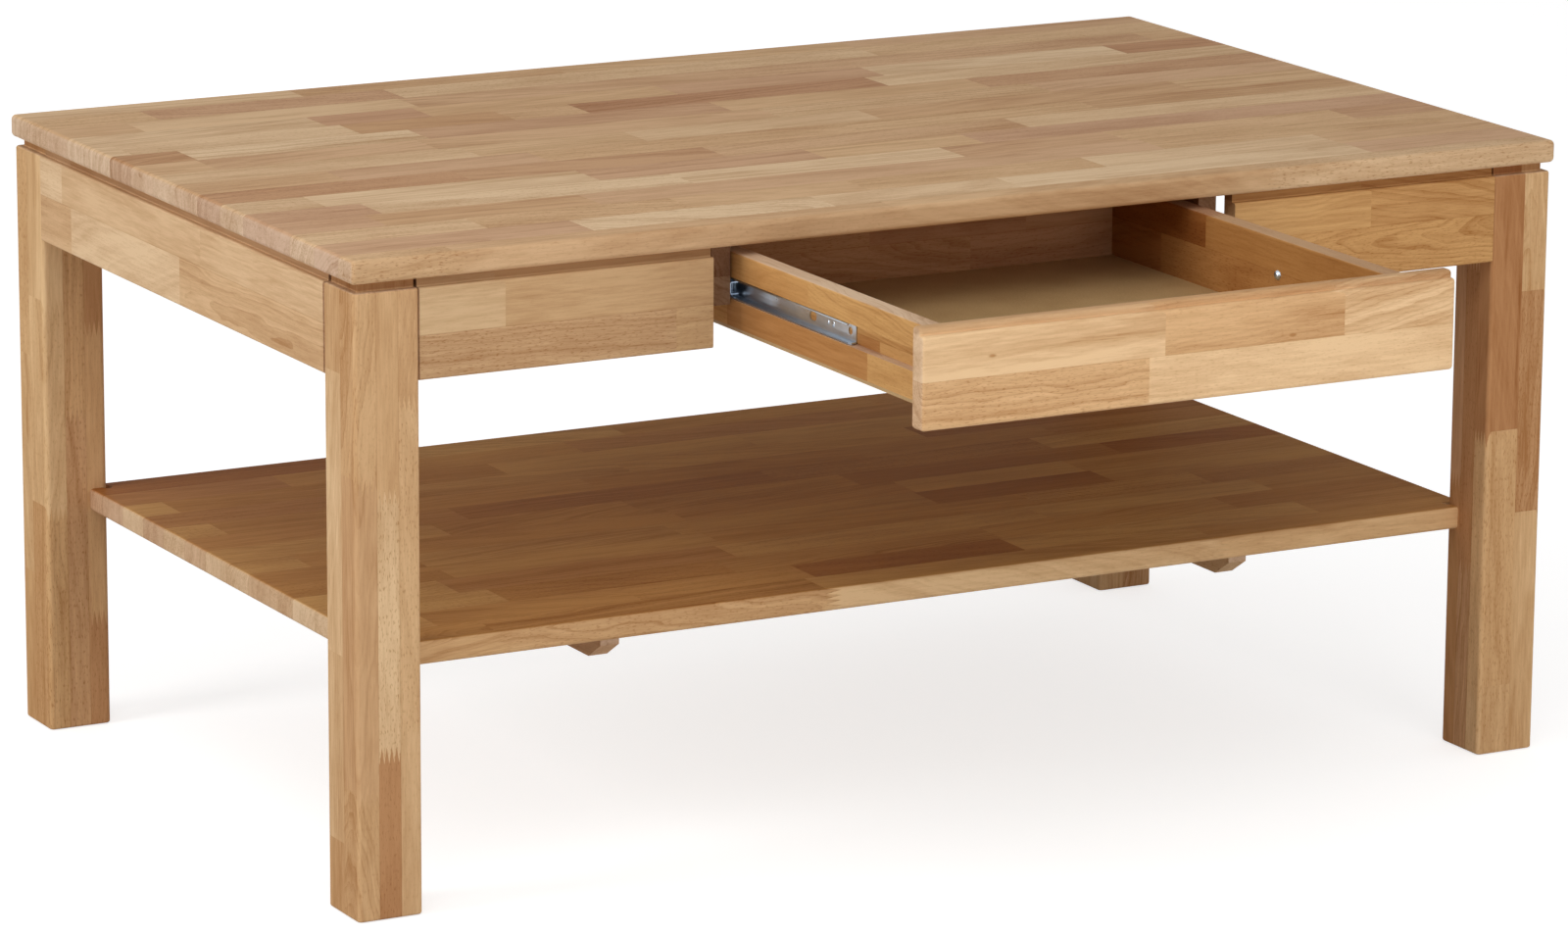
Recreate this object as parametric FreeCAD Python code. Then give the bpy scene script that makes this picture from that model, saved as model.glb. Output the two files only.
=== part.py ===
import FreeCAD, Part
import math
import os

# A beech coffee table with a low shelf and one drawer that runs on ball slides.
# Lengths are in millimetres. X runs along the table, the drawer opens towards -Y and Z is up.
# Pieces are drawn about the middle of the table top and stored with the drawer pulled out.

Vector = FreeCAD.Vector
X_AXIS = Vector(1, 0, 0)
Y_AXIS = Vector(0, 1, 0)
Z_AXIS = Vector(0, 0, 1)
SIDES = {"left": -1, "right": 1}
ENDS = {"front": -1, "back": 1}

# Whole table
TABLE_LENGTH = 1050.0
TABLE_WIDTH = 650.0
TABLE_HEIGHT = 500.0
SHADOW_LINE = 7.0            # height of the recessed line that runs under the top
HOLE_CLEARANCE = 0.15        # round a dowel, screw or bolt
CUT_OVERRUN = 5.0            # how far a cutting shape runs past the piece
TOLERANCE = 0.01             # for finding edges by their place

# Top
TOP_THICKNESS = 18.0
TOP_EDGE_RADIUS = 4.0
TOP_OVERHANG = 2.5           # past the outer faces of the legs

# Legs
LEG_SIDE = 53.0
LEG_EDGE_RADIUS = 4.0
LEG_END_RADIUS = 2.0         # at the foot and at the shoulder
LEG_NECK_INSET = 6.0
LEG_NECK_INNER_INSET = 2.2   # on the sides that face the aprons

# Aprons
APRON_THICKNESS = 16.0
APRON_HEIGHT = 76.0
APRON_REBATE = 5.0
APRON_EDGE_RADIUS = 2.0

# Dowels between aprons and legs, and between shelf and legs
DOWEL_DIAMETER = 8.0
DOWEL_LENGTH = 40.0
DOWEL_CHAMFER = 1.0
DOWEL_END_GAP = 1.0
APRON_DOWEL_SHARES = (0.25, 0.7)

# Corner blocks, with the bolts that draw the legs in
BLOCK_THICKNESS = 22.0
BLOCK_HEIGHT = 40.0
BLOCK_LEG_GAP = 6.0
BLOCK_SCREW_SPREAD = 44.0
BOLT_DIAMETER = 8.0
BOLT_LEG_DEPTH = 30.0
BOLT_TAIL = 5.0              # past the nut
WASHER_DIAMETER = 20.0
WASHER_THICKNESS = 1.6
NUT_WIDTH = 13.0             # across flats
NUT_HEIGHT = 6.5

# Wood screws with flat heads
SCREW_DIAMETER = 4.5
SCREW_HEAD_DIAMETER = 8.5
SCREW_BITE = 11.0            # depth in the top or the shelf
SCREW_POINT = 4.0
ROUND_HEAD_SHARE = 0.8       # of a domed head's height that its rim is rounded by

# Angle brackets between aprons and top, with their pan-head screws
BRACKET_ARM = 24.0
BRACKET_WIDTH = 18.0
BRACKET_SHEET = 2.0
BRACKET_END_INSET = 40.0     # from the drawer opening to the brackets on the front aprons
PAN_DIAMETER = 3.5
PAN_HEAD_DIAMETER = 7.0
PAN_HEAD_HEIGHT = 2.0
PAN_BITE = 10.0
PAN_POINT = 3.0

# Shelf
SHELF_TOP_HEIGHT = 198.0
SHELF_THICKNESS = 18.0
SHELF_LEG_OVERLAP = 15.0     # how far its notched corners reach past the legs' inner faces
SHELF_EDGE_RADIUS = 3.0
SHELF_RELIEF_RADIUS = 4.5

# Battens under the shelf
BATTEN_WIDTH = 16.0
BATTEN_HEIGHT = 25.0
BATTEN_SPACING = 560.0
BATTEN_SETBACK = 30.0        # from the shelf's front and back edges
BATTEN_BEVEL_LENGTH = 20.0
BATTEN_BEVEL_HEIGHT = 12.5
BATTEN_SCREW_SHARES = (0.14, 0.5, 0.86)

# Rails that hang under the top and carry the drawer
RAIL_THICKNESS = 16.0
RAIL_HEIGHT = 48.0
RAIL_APRON_GAP = 7.0         # from the end of a front apron to the rail's outer face
RAIL_STOP_GAP = 1.0          # from the back of the closed drawer front to the rail
RAIL_SCREW_SHARES = (0.12, 0.5, 0.88)

# Drawer
DRAWER_OPENING = 456.0       # between the two front aprons
DRAWER_TRAVEL = 310.0
FRONT_THICKNESS = 16.0
FRONT_SIDE_GAP = 3.0
FRONT_TOP_GAP = 1.5
FRONT_EDGE_RADIUS = 3.0
BOX_LENGTH = 426.0           # from the back of the drawer front to the back of the box
BOX_SIDE_THICKNESS = 16.0
BOX_SIDE_HEIGHT = 57.0
BOX_EDGE_RADIUS = 2.0
BOX_TOP_GAP = 8.0            # from the box to the underside of the top
BOX_RAIL_GAP = 1.5           # from a rail to the drawer side and to the lips of its channel
BOX_BOTTOM_THICKNESS = 2.5
GROOVE_CLEARANCE = 0.1       # over and under the channel that lies in the drawer side
BOX_DOWEL_DIAMETER = 6.0
BOX_DOWEL_LENGTH = 28.0
BOX_DOWEL_FRONT_DEPTH = 10.0
BOX_DOWEL_SHARES = (0.25, 0.75)
BACK_SCREW_DIAMETER = 3.5
BACK_SCREW_HEAD_DIAMETER = 7.0
BACK_SCREW_LENGTH = 35.0
BACK_SCREW_SHARES = (0.18, 0.84)
BOTTOM_SCREW_DIAMETER = 3.0
BOTTOM_SCREW_HEAD_DIAMETER = 5.6
BOTTOM_SCREW_HEAD_HEIGHT = 1.4
BOTTOM_SCREW_BITE = 8.0
BOTTOM_SCREW_SIDE_SHARES = (0.08, 0.36, 0.64, 0.9)
BOTTOM_SCREW_BACK_SHARES = (-0.6, 0.0, 0.6)

# Ball slides: an inner channel on the rail, an outer channel on the drawer
SLIDE_THICKNESS = 10.0       # from rail to the floor of the drawer side's groove
SLIDE_SHEET = 1.0
SLIDE_BEND_RADIUS = 0.8      # inside a bend
SLIDE_HEIGHT_SHARE = 0.51    # of the drawer side's height
CABINET_MEMBER_HEIGHT = 10.0
CABINET_MEMBER_DEPTH = 7.0
CABINET_MEMBER_LENGTH = 420.0
CABINET_SCREW_SHARES = (0.06, 0.5, 0.94)
DRAWER_MEMBER_LENGTH = 290.0
DRAWER_MEMBER_SETBACK = 3.0  # from the back of the box
MEMBER_HOLE_DIAMETER = 6.0
MEMBER_HOLE_INSET = 8.5      # from the member's end to a round hole
MEMBER_SLOT_INSET = 65.0
MEMBER_SLOT_LENGTH = 10.5
MEMBER_SLOT_HEIGHT = 6.8
SLOT_END_SHARE = 0.98        # of half the slot's height that its ends are rounded by
MEMBER_SCREW_DIAMETER = 3.0
MEMBER_SCREW_HEAD_DIAMETER = 5.6
MEMBER_SCREW_BITE = 7.0
SIDE_BOLT_DIAMETER = 4.0
SIDE_BOLT_HEAD_DIAMETER = 8.0
SIDE_BOLT_HEAD_HEIGHT = 2.6
SIDE_BOLT_INSET = 34.5
RACEWAY_GAP = 2.2            # between the two channels' flanges, where the balls run
BALL_CLEARANCE = 0.15
BALL_PITCH = 15.0
CAGE_LENGTH = 90.0
CAGE_SHEET = 0.6
CAGE_POCKET_GAP = 0.1
CAGE_RAIL_GAP = 2.6

# Places that follow from the sizes
LEG_X = TABLE_LENGTH / 2 - TOP_OVERHANG
LEG_Y = TABLE_WIDTH / 2 - TOP_OVERHANG
LEG_INNER_X = LEG_X - LEG_SIDE
LEG_INNER_Y = LEG_Y - LEG_SIDE
APRON_INNER_X = LEG_X - APRON_THICKNESS
APRON_INNER_Y = LEG_Y - APRON_THICKNESS
UNDERSIDE = TABLE_HEIGHT - TOP_THICKNESS
SHADOW_Z = UNDERSIDE - SHADOW_LINE
APRON_BOTTOM = UNDERSIDE - APRON_HEIGHT
APRON_SIDE_LENGTH = 2 * LEG_INNER_Y
APRON_BACK_LENGTH = 2 * LEG_INNER_X
APRON_FRONT_LENGTH = LEG_INNER_X - DRAWER_OPENING / 2
LEG_REACH = LEG_SIDE - APRON_THICKNESS
BLOCK_NEAR = 2 * LEG_REACH + BLOCK_LEG_GAP * math.sqrt(2)
BLOCK_FAR = BLOCK_NEAR + BLOCK_THICKNESS * math.sqrt(2)
BOLT_Z = UNDERSIDE - BLOCK_HEIGHT / 2
SHELF_BOTTOM = SHELF_TOP_HEIGHT - SHELF_THICKNESS
SHELF_HALF_X = LEG_INNER_X + SHELF_LEG_OVERLAP
SHELF_HALF_Y = LEG_INNER_Y + SHELF_LEG_OVERLAP
RAIL_INNER_X = DRAWER_OPENING / 2 - RAIL_APRON_GAP - RAIL_THICKNESS
RAIL_FRONT = FRONT_THICKNESS + RAIL_STOP_GAP - LEG_Y
RAIL_LENGTH = APRON_INNER_Y - RAIL_FRONT
BOX_HALF_X = RAIL_INNER_X - BOX_RAIL_GAP
BOX_INNER_X = BOX_HALF_X - BOX_SIDE_THICKNESS
BOX_FRONT = FRONT_THICKNESS - DRAWER_TRAVEL - LEG_Y
BOX_BACK = BOX_FRONT + BOX_LENGTH
BOX_TOP = UNDERSIDE - BOX_TOP_GAP
BOX_BOTTOM = BOX_TOP - BOX_SIDE_HEIGHT
SLIDE_Z = BOX_BOTTOM + BOX_SIDE_HEIGHT * SLIDE_HEIGHT_SHARE
DRAWER_MEMBER_HEIGHT = CABINET_MEMBER_HEIGHT + 2 * (RACEWAY_GAP + SLIDE_SHEET)
DRAWER_MEMBER_BACK = BOX_BACK - DRAWER_MEMBER_SETBACK
GROOVE_DEPTH = SLIDE_THICKNESS - BOX_RAIL_GAP
GROOVE_HEIGHT = DRAWER_MEMBER_HEIGHT + 2 * GROOVE_CLEARANCE
DRAWER_MEMBER_FRONT = DRAWER_MEMBER_BACK - DRAWER_MEMBER_LENGTH
CAGE_MIDDLE = (RAIL_FRONT + DRAWER_MEMBER_BACK) / 2
RACEWAY_Z = (CABINET_MEMBER_HEIGHT + RACEWAY_GAP) / 2
STAND_Y = (LEG_Y + DRAWER_TRAVEL - TABLE_WIDTH / 2) / 2


# Shared helpers

def box(x0, x1, y0, y1, z0, z1):
    """A block between three pairs of planes, given in either order."""
    low = Vector(min(x0, x1), min(y0, y1), min(z0, z1))
    return Part.makeBox(abs(x1 - x0), abs(y1 - y0), abs(z1 - z0), low)


def near(a, b):
    """True where two places agree."""
    return abs(a - b) < TOLERANCE


def edges_where(shape, keep):
    """The edges whose middle point passes the keep test."""
    return [edge for edge in shape.Edges if keep(edge.CenterOfMass)]


def prism(points, sweep):
    """A closed outline swept straight along a vector."""
    outline = Part.makePolygon(list(points) + [points[0]])
    return Part.Face(outline).extrude(sweep)


def cylinder(radius, height, base, axis):
    """A round bar from its base along an axis."""
    return Part.makeCylinder(radius, height, base, axis)


def bored(shape, holes):
    """The shape without the holes that reach into it."""
    for hole in holes:
        if shape.BoundBox.intersect(hole.BoundBox):
            shape = shape.cut(hole)
    return shape


def with_hole(make, *sizes):
    """A fastener and the slightly wider shape that is bored for it."""
    return make(*sizes, 0), make(*sizes, HOLE_CLEARANCE)


def solids_of(pairs):
    """The fasteners of a list of fastener and hole pairs, as one group."""
    return Part.makeCompound([solid for solid, hole in pairs])


def holes_of(*groups):
    """The holes of several lists of fastener and hole pairs."""
    return [hole for pairs in groups for solid, hole in pairs]


def save(name, shape):
    """Writes a piece, moved so that the whole outline stands over the origin."""
    shape.translated(Vector(0, STAND_Y, 0)).exportStep("parts/%s.step" % name)


# Fasteners, each drawn from its seat along an axis

def dowel(middle, axis, diameter, length, gap):
    """A dowel with chamfered ends, centred on the joint."""
    end_gap = DOWEL_END_GAP if gap else 0
    half = length / 2 + end_gap
    bar = cylinder(diameter / 2 + gap, 2 * half, middle - axis * half, axis)
    return bar if gap else bar.makeChamfer(DOWEL_CHAMFER, bar.Edges)


def flat_screw(seat, axis, diameter, head_diameter, length, gap):
    """A wood screw whose flat head lies level with its seat."""
    radius = diameter / 2 + gap
    head_radius = head_diameter / 2 + gap
    body = length - SCREW_POINT
    head = Part.makeCone(head_radius, radius, head_radius - radius, seat, axis)
    shank = cylinder(radius, body, seat, axis)
    point = Part.makeCone(radius, gap, SCREW_POINT, seat + axis * body, axis)
    return head.fuse([shank, point]).removeSplitter()


def pan_screw(seat, axis, diameter, head_diameter, head_height, length, gap):
    """A screw whose rounded head stands on its seat."""
    radius = diameter / 2 + gap
    body = length - PAN_POINT
    shank = cylinder(radius, body, seat, axis)
    point = Part.makeCone(radius, gap, PAN_POINT, seat + axis * body, axis)
    if gap:
        return shank.fuse(point)
    return round_head(seat, axis, head_diameter, head_height).fuse([shank, point]).removeSplitter()


def round_head(seat, axis, diameter, height):
    """A domed screw head on its seat."""
    top = seat - axis * height
    head = cylinder(diameter / 2, height, top, axis)
    rim = edges_where(head, lambda p: near((p - top).dot(axis), 0))
    return head.makeFillet(height * ROUND_HEAD_SHARE, rim)


def side_bolt(seat, axis, length, gap):
    """A bolt with a domed head inside the drawer and its end level with the slide's sheet."""
    shank = cylinder(SIDE_BOLT_DIAMETER / 2 + gap, length, seat, axis)
    if gap:
        return shank
    head = round_head(seat, axis, SIDE_BOLT_HEAD_DIAMETER, SIDE_BOLT_HEAD_HEIGHT)
    return head.fuse(shank).removeSplitter()


def upward_screw(seat, through):
    """A flat screw that goes up through a piece and bites into the board over it."""
    return with_hole(flat_screw, seat, Z_AXIS, SCREW_DIAMETER, SCREW_HEAD_DIAMETER, through + SCREW_BITE)


def sheet_screw(seat, axis, sheet):
    """A pan screw that holds a steel sheet to wood."""
    length = sheet + PAN_BITE
    return with_hole(pan_screw, seat, axis, PAN_DIAMETER, PAN_HEAD_DIAMETER, PAN_HEAD_HEIGHT, length)


# Top, legs and aprons

def table_top(holes):
    """The top board, rounded on every edge."""
    half_x = TABLE_LENGTH / 2
    half_y = TABLE_WIDTH / 2
    board = box(-half_x, half_x, -half_y, half_y, UNDERSIDE, TABLE_HEIGHT)
    return bored(board.makeFillet(TOP_EDGE_RADIUS, board.Edges), holes)


def leg(sx, sy, holes):
    """A square leg with eased edges and a set-in neck under the top."""
    post = box(sx * LEG_INNER_X, sx * LEG_X, sy * LEG_INNER_Y, sy * LEG_Y, 0, SHADOW_Z)
    uprights = edges_where(post, lambda p: near(p.z, SHADOW_Z / 2))
    post = post.makeFillet(LEG_EDGE_RADIUS, uprights)
    rims = edges_where(post, lambda p: near(p.z, 0) or near(p.z, SHADOW_Z))
    post = post.makeFillet(LEG_END_RADIUS, rims)
    neck = box(sx * (LEG_INNER_X + LEG_NECK_INNER_INSET), sx * (LEG_X - LEG_NECK_INSET),
               sy * (LEG_INNER_Y + LEG_NECK_INNER_INSET), sy * (LEG_Y - LEG_NECK_INSET),
               SHADOW_Z - CUT_OVERRUN, UNDERSIDE)
    return bored(post.fuse(neck).removeSplitter(), holes)


def apron(length):
    """An apron board along X, outer face at Y zero, with a rebate along its upper outer edge."""
    lip_bottom = APRON_HEIGHT - SHADOW_LINE
    steps = [(0, 0), (APRON_THICKNESS, 0), (APRON_THICKNESS, APRON_HEIGHT),
             (APRON_REBATE, APRON_HEIGHT), (APRON_REBATE, lip_bottom), (0, lip_bottom)]
    board = prism([Vector(0, y, z) for y, z in steps], X_AXIS * length)
    face_edges = edges_where(board, lambda p: near(p.x, length / 2) and near(p.y, 0))
    return board.makeFillet(APRON_EDGE_RADIUS, face_edges)


def placed(shape, turn, x, y, z):
    """A shape turned about Z by some degrees and then moved."""
    moved = shape.copy()
    moved.Placement = FreeCAD.Placement(Vector(x, y, z), FreeCAD.Rotation(Z_AXIS, turn))
    return moved


def aprons():
    """All five aprons in their places, by name."""
    side = apron(APRON_SIDE_LENGTH)
    front = apron(APRON_FRONT_LENGTH)
    return {
        "side_apron_left": placed(side, -90, -LEG_X, LEG_INNER_Y, APRON_BOTTOM),
        "side_apron_right": placed(side, 90, LEG_X, -LEG_INNER_Y, APRON_BOTTOM),
        "front_apron_left": placed(front, 0, -LEG_INNER_X, -LEG_Y, APRON_BOTTOM),
        "front_apron_right": placed(front, 0, DRAWER_OPENING / 2, -LEG_Y, APRON_BOTTOM),
        "back_apron": placed(apron(APRON_BACK_LENGTH), 180, LEG_INNER_X, LEG_Y, APRON_BOTTOM),
    }


def apron_dowels():
    """Dowels that join each apron end to its leg."""
    pairs = []
    for sx in SIDES.values():
        for sy in ENDS.values():
            for share in APRON_DOWEL_SHARES:
                z = APRON_BOTTOM + APRON_HEIGHT * share
                long_joint = Vector(sx * LEG_INNER_X, sy * (LEG_Y - APRON_THICKNESS / 2), z)
                side_joint = Vector(sx * (LEG_X - APRON_THICKNESS / 2), sy * LEG_INNER_Y, z)
                pairs.append(with_hole(dowel, long_joint, X_AXIS, DOWEL_DIAMETER, DOWEL_LENGTH))
                pairs.append(with_hole(dowel, side_joint, Y_AXIS, DOWEL_DIAMETER, DOWEL_LENGTH))
    return pairs


# Corner blocks and their bolts, placed by distances a and b in from the aprons' inner faces

def corner_point(sx, sy, a, b, z):
    """A point in a corner of the frame, a and b in from the two aprons."""
    return Vector(sx * (APRON_INNER_X - a), sy * (APRON_INNER_Y - b), z)


def corner_block(sx, sy, holes):
    """A block set across a corner, against both aprons and the top."""
    reaches = [(0, BLOCK_NEAR), (BLOCK_NEAR, 0), (BLOCK_FAR, 0), (0, BLOCK_FAR)]
    outline = [corner_point(sx, sy, a, b, UNDERSIDE - BLOCK_HEIGHT) for a, b in reaches]
    return bored(prism(outline, Z_AXIS * BLOCK_HEIGHT), holes)


def corner_axis(sx, sy):
    """The level direction from a leg towards the middle of the table."""
    return Vector(-sx, -sy, 0).normalize()


def hanger_bolt(sx, sy, gap):
    """A bolt from inside the leg through the corner block, washer and nut."""
    start = LEG_REACH - BOLT_LEG_DEPTH / math.sqrt(2)
    length = (BLOCK_FAR / 2 - start) * math.sqrt(2) + WASHER_THICKNESS + NUT_HEIGHT + BOLT_TAIL
    base = corner_point(sx, sy, start, start, BOLT_Z) - corner_axis(sx, sy) * gap
    return cylinder(BOLT_DIAMETER / 2 + gap, length + gap, base, corner_axis(sx, sy))


def washer(sx, sy, hole):
    """A washer on the inner face of a corner block."""
    seat = corner_point(sx, sy, BLOCK_FAR / 2, BLOCK_FAR / 2, BOLT_Z)
    return cylinder(WASHER_DIAMETER / 2, WASHER_THICKNESS, seat, corner_axis(sx, sy)).cut(hole)


def nut(sx, sy, hole):
    """A hexagon nut on its washer."""
    axis = corner_axis(sx, sy)
    seat = corner_point(sx, sy, BLOCK_FAR / 2, BLOCK_FAR / 2, BOLT_Z) + axis * WASHER_THICKNESS
    radius = NUT_WIDTH / math.sqrt(3)
    turns = [math.radians(60 * k) for k in range(6)]
    outline = [Vector(radius * math.cos(t), radius * math.sin(t), 0) for t in turns]
    body = prism(outline, Z_AXIS * NUT_HEIGHT)
    body.Placement = FreeCAD.Placement(seat, FreeCAD.Rotation(Z_AXIS, axis))
    return body.cut(hole)


def block_screws():
    """Two screws up through each corner block into the top."""
    pairs = []
    middle = (BLOCK_NEAR + BLOCK_FAR) / 4
    spread = BLOCK_SCREW_SPREAD / 2 / math.sqrt(2)
    for sx in SIDES.values():
        for sy in ENDS.values():
            for step in (-spread, spread):
                seat = corner_point(sx, sy, middle + step, middle - step, UNDERSIDE - BLOCK_HEIGHT)
                pairs.append(upward_screw(seat, BLOCK_HEIGHT))
    return pairs


# Angle brackets that hold the aprons' long stretches to the top

def bracket_places():
    """Each bracket's corner under the top, with the direction that points away from its apron."""
    front_x = DRAWER_OPENING / 2 + BRACKET_END_INSET
    places = [(Vector(s * APRON_INNER_X, 0, UNDERSIDE), X_AXIS * -s) for s in SIDES.values()]
    places += [(Vector(s * front_x, -APRON_INNER_Y, UNDERSIDE), Y_AXIS) for s in SIDES.values()]
    places += [(Vector(s * front_x, APRON_INNER_Y, UNDERSIDE), Y_AXIS * -1) for s in SIDES.values()]
    return places


def bracket(corner, inward, holes):
    """A bent steel angle with one arm down the apron and one along the top."""
    across = inward.cross(Z_AXIS)
    start = corner - across * (BRACKET_WIDTH / 2)
    down = Z_AXIS * -1
    reaches = [(0, 0), (BRACKET_ARM, 0), (BRACKET_ARM, BRACKET_SHEET), (BRACKET_SHEET, BRACKET_SHEET),
               (BRACKET_SHEET, BRACKET_ARM), (0, BRACKET_ARM)]
    outline = [start + inward * a + down * b for a, b in reaches]
    return bored(prism(outline, across * BRACKET_WIDTH), holes)


def bracket_screws(places):
    """One screw into the apron and one into the top for each bracket."""
    pairs = []
    middle = (BRACKET_ARM + BRACKET_SHEET) / 2
    for corner, inward in places:
        up_seat = corner + inward * middle - Z_AXIS * BRACKET_SHEET
        apron_seat = corner + inward * BRACKET_SHEET - Z_AXIS * middle
        pairs.append(sheet_screw(up_seat, Z_AXIS, BRACKET_SHEET))
        pairs.append(sheet_screw(apron_seat, inward * -1, BRACKET_SHEET))
    return pairs


# Shelf and battens

def on_shelf_rim(p):
    """True on the long upper and lower edges of the shelf, outside its notches."""
    at_face = near(p.z, SHELF_BOTTOM) or near(p.z, SHELF_TOP_HEIGHT)
    return at_face and (near(abs(p.x), SHELF_HALF_X) or near(abs(p.y), SHELF_HALF_Y))


def shelf(holes):
    """The low shelf, notched round the inner corners of the legs."""
    board = box(-SHELF_HALF_X, SHELF_HALF_X, -SHELF_HALF_Y, SHELF_HALF_Y, SHELF_BOTTOM, SHELF_TOP_HEIGHT)
    low = SHELF_BOTTOM - CUT_OVERRUN
    high = SHELF_TOP_HEIGHT + CUT_OVERRUN
    for sx in SIDES.values():
        for sy in ENDS.values():
            notch = box(sx * LEG_INNER_X, sx * (SHELF_HALF_X + CUT_OVERRUN),
                        sy * LEG_INNER_Y, sy * (SHELF_HALF_Y + CUT_OVERRUN), low, high)
            board = board.cut(notch)
    board = board.makeFillet(SHELF_EDGE_RADIUS, edges_where(board, on_shelf_rim))
    for sx in SIDES.values():
        for sy in ENDS.values():
            corner = Vector(sx * LEG_INNER_X, sy * LEG_INNER_Y, low)
            board = board.cut(cylinder(SHELF_RELIEF_RADIUS, high - low, corner, Z_AXIS))
    return bored(board, holes)


def shelf_dowels():
    """One dowel from each leg into the shelf's notched corner."""
    y = LEG_INNER_Y + SHELF_LEG_OVERLAP / 2
    z = SHELF_BOTTOM + SHELF_THICKNESS / 2
    middles = [Vector(sx * LEG_INNER_X, sy * y, z) for sx in SIDES.values() for sy in ENDS.values()]
    return [with_hole(dowel, middle, X_AXIS, DOWEL_DIAMETER, DOWEL_LENGTH) for middle in middles]


def batten(sx, holes):
    """A batten on edge under the shelf, with its lower corners bevelled at both ends."""
    half = SHELF_HALF_Y - BATTEN_SETBACK
    bottom = SHELF_BOTTOM - BATTEN_HEIGHT
    x = sx * BATTEN_SPACING / 2 - BATTEN_WIDTH / 2
    bevel_top = bottom + BATTEN_BEVEL_HEIGHT
    steps = [(half, SHELF_BOTTOM), (half, bevel_top), (half - BATTEN_BEVEL_LENGTH, bottom)]
    outline = [Vector(x, y, z) for y, z in steps] + [Vector(x, -y, z) for y, z in reversed(steps)]
    return bored(prism(outline, X_AXIS * BATTEN_WIDTH), holes)


def batten_screws():
    """Screws up through the battens into the shelf."""
    half = SHELF_HALF_Y - BATTEN_SETBACK
    bottom = SHELF_BOTTOM - BATTEN_HEIGHT
    places = [(sx * BATTEN_SPACING / 2, half * (2 * share - 1))
              for sx in SIDES.values() for share in BATTEN_SCREW_SHARES]
    return [upward_screw(Vector(x, y, bottom), BATTEN_HEIGHT) for x, y in places]


# Rails and slides, placed by a distance u from a rail's inner face towards the drawer

def slide_x(sx, u):
    """The X place of a distance from the rail's inner face."""
    return sx * (RAIL_INNER_X - u)


def rail(sx, holes):
    """A rail hung under the top, from behind the drawer front to the back apron."""
    board = box(slide_x(sx, 0), slide_x(sx, -RAIL_THICKNESS), RAIL_FRONT, APRON_INNER_Y,
                UNDERSIDE - RAIL_HEIGHT, UNDERSIDE)
    return bored(board, holes)


def rail_screws():
    """Screws up through the rails into the top."""
    bottom = UNDERSIDE - RAIL_HEIGHT
    places = [(slide_x(sx, -RAIL_THICKNESS / 2), RAIL_FRONT + RAIL_LENGTH * share)
              for sx in SIDES.values() for share in RAIL_SCREW_SHARES]
    return [upward_screw(Vector(x, y, bottom), RAIL_HEIGHT) for x, y in places]


def channel(sx, web_u, lip_u, height, sheet, bend, y0, y1):
    """A bent sheet channel along Y, its web's outer face at web_u and its lips ending at lip_u."""
    step = math.copysign(sheet, lip_u - web_u)
    half = height / 2
    inner = half - sheet
    reaches = [(web_u, -half), (lip_u, -half), (lip_u, -inner), (web_u + step, -inner),
               (web_u + step, inner), (lip_u, inner), (lip_u, half), (web_u, half)]
    outline = [Vector(slide_x(sx, u), y0, SLIDE_Z + z) for u, z in reaches]
    body = prism(outline, Y_AXIS * (y1 - y0))
    outer_x = slide_x(sx, web_u)
    inner_x = slide_x(sx, web_u + step)
    middle_y = (y0 + y1) / 2
    outer_bends = edges_where(body, lambda p: near(p.x, outer_x) and near(p.y, middle_y))
    body = body.makeFillet(bend + sheet, outer_bends)
    inner_bends = edges_where(body, lambda p: near(p.x, inner_x) and near(p.y, middle_y))
    return body.makeFillet(bend, inner_bends)


def cabinet_member(sx, holes):
    """The inner channel, screwed to the rail."""
    body = channel(sx, 0, CABINET_MEMBER_DEPTH, CABINET_MEMBER_HEIGHT, SLIDE_SHEET, SLIDE_BEND_RADIUS,
                   RAIL_FRONT, RAIL_FRONT + CABINET_MEMBER_LENGTH)
    return bored(body, holes)


def cabinet_screws():
    """Screws that hold the inner channels to the rails."""
    pairs = []
    for sx in SIDES.values():
        for share in CABINET_SCREW_SHARES:
            y = RAIL_FRONT + CABINET_MEMBER_LENGTH * share
            seat = Vector(slide_x(sx, SLIDE_SHEET), y, SLIDE_Z)
            pairs.append(sheet_screw(seat, X_AXIS * sx, SLIDE_SHEET))
    return pairs


def member_slot(sx, y):
    """The cutter for a level slot in an outer channel."""
    x0 = slide_x(sx, SLIDE_THICKNESS - SLIDE_SHEET - CUT_OVERRUN)
    x1 = slide_x(sx, SLIDE_THICKNESS + CUT_OVERRUN)
    half_y = MEMBER_SLOT_LENGTH / 2
    half_z = MEMBER_SLOT_HEIGHT / 2
    slot = box(x0, x1, y - half_y, y + half_y, SLIDE_Z - half_z, SLIDE_Z + half_z)
    corners = edges_where(slot, lambda p: near(p.x, (x0 + x1) / 2))
    return slot.makeFillet(half_z * SLOT_END_SHARE, corners)


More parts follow.
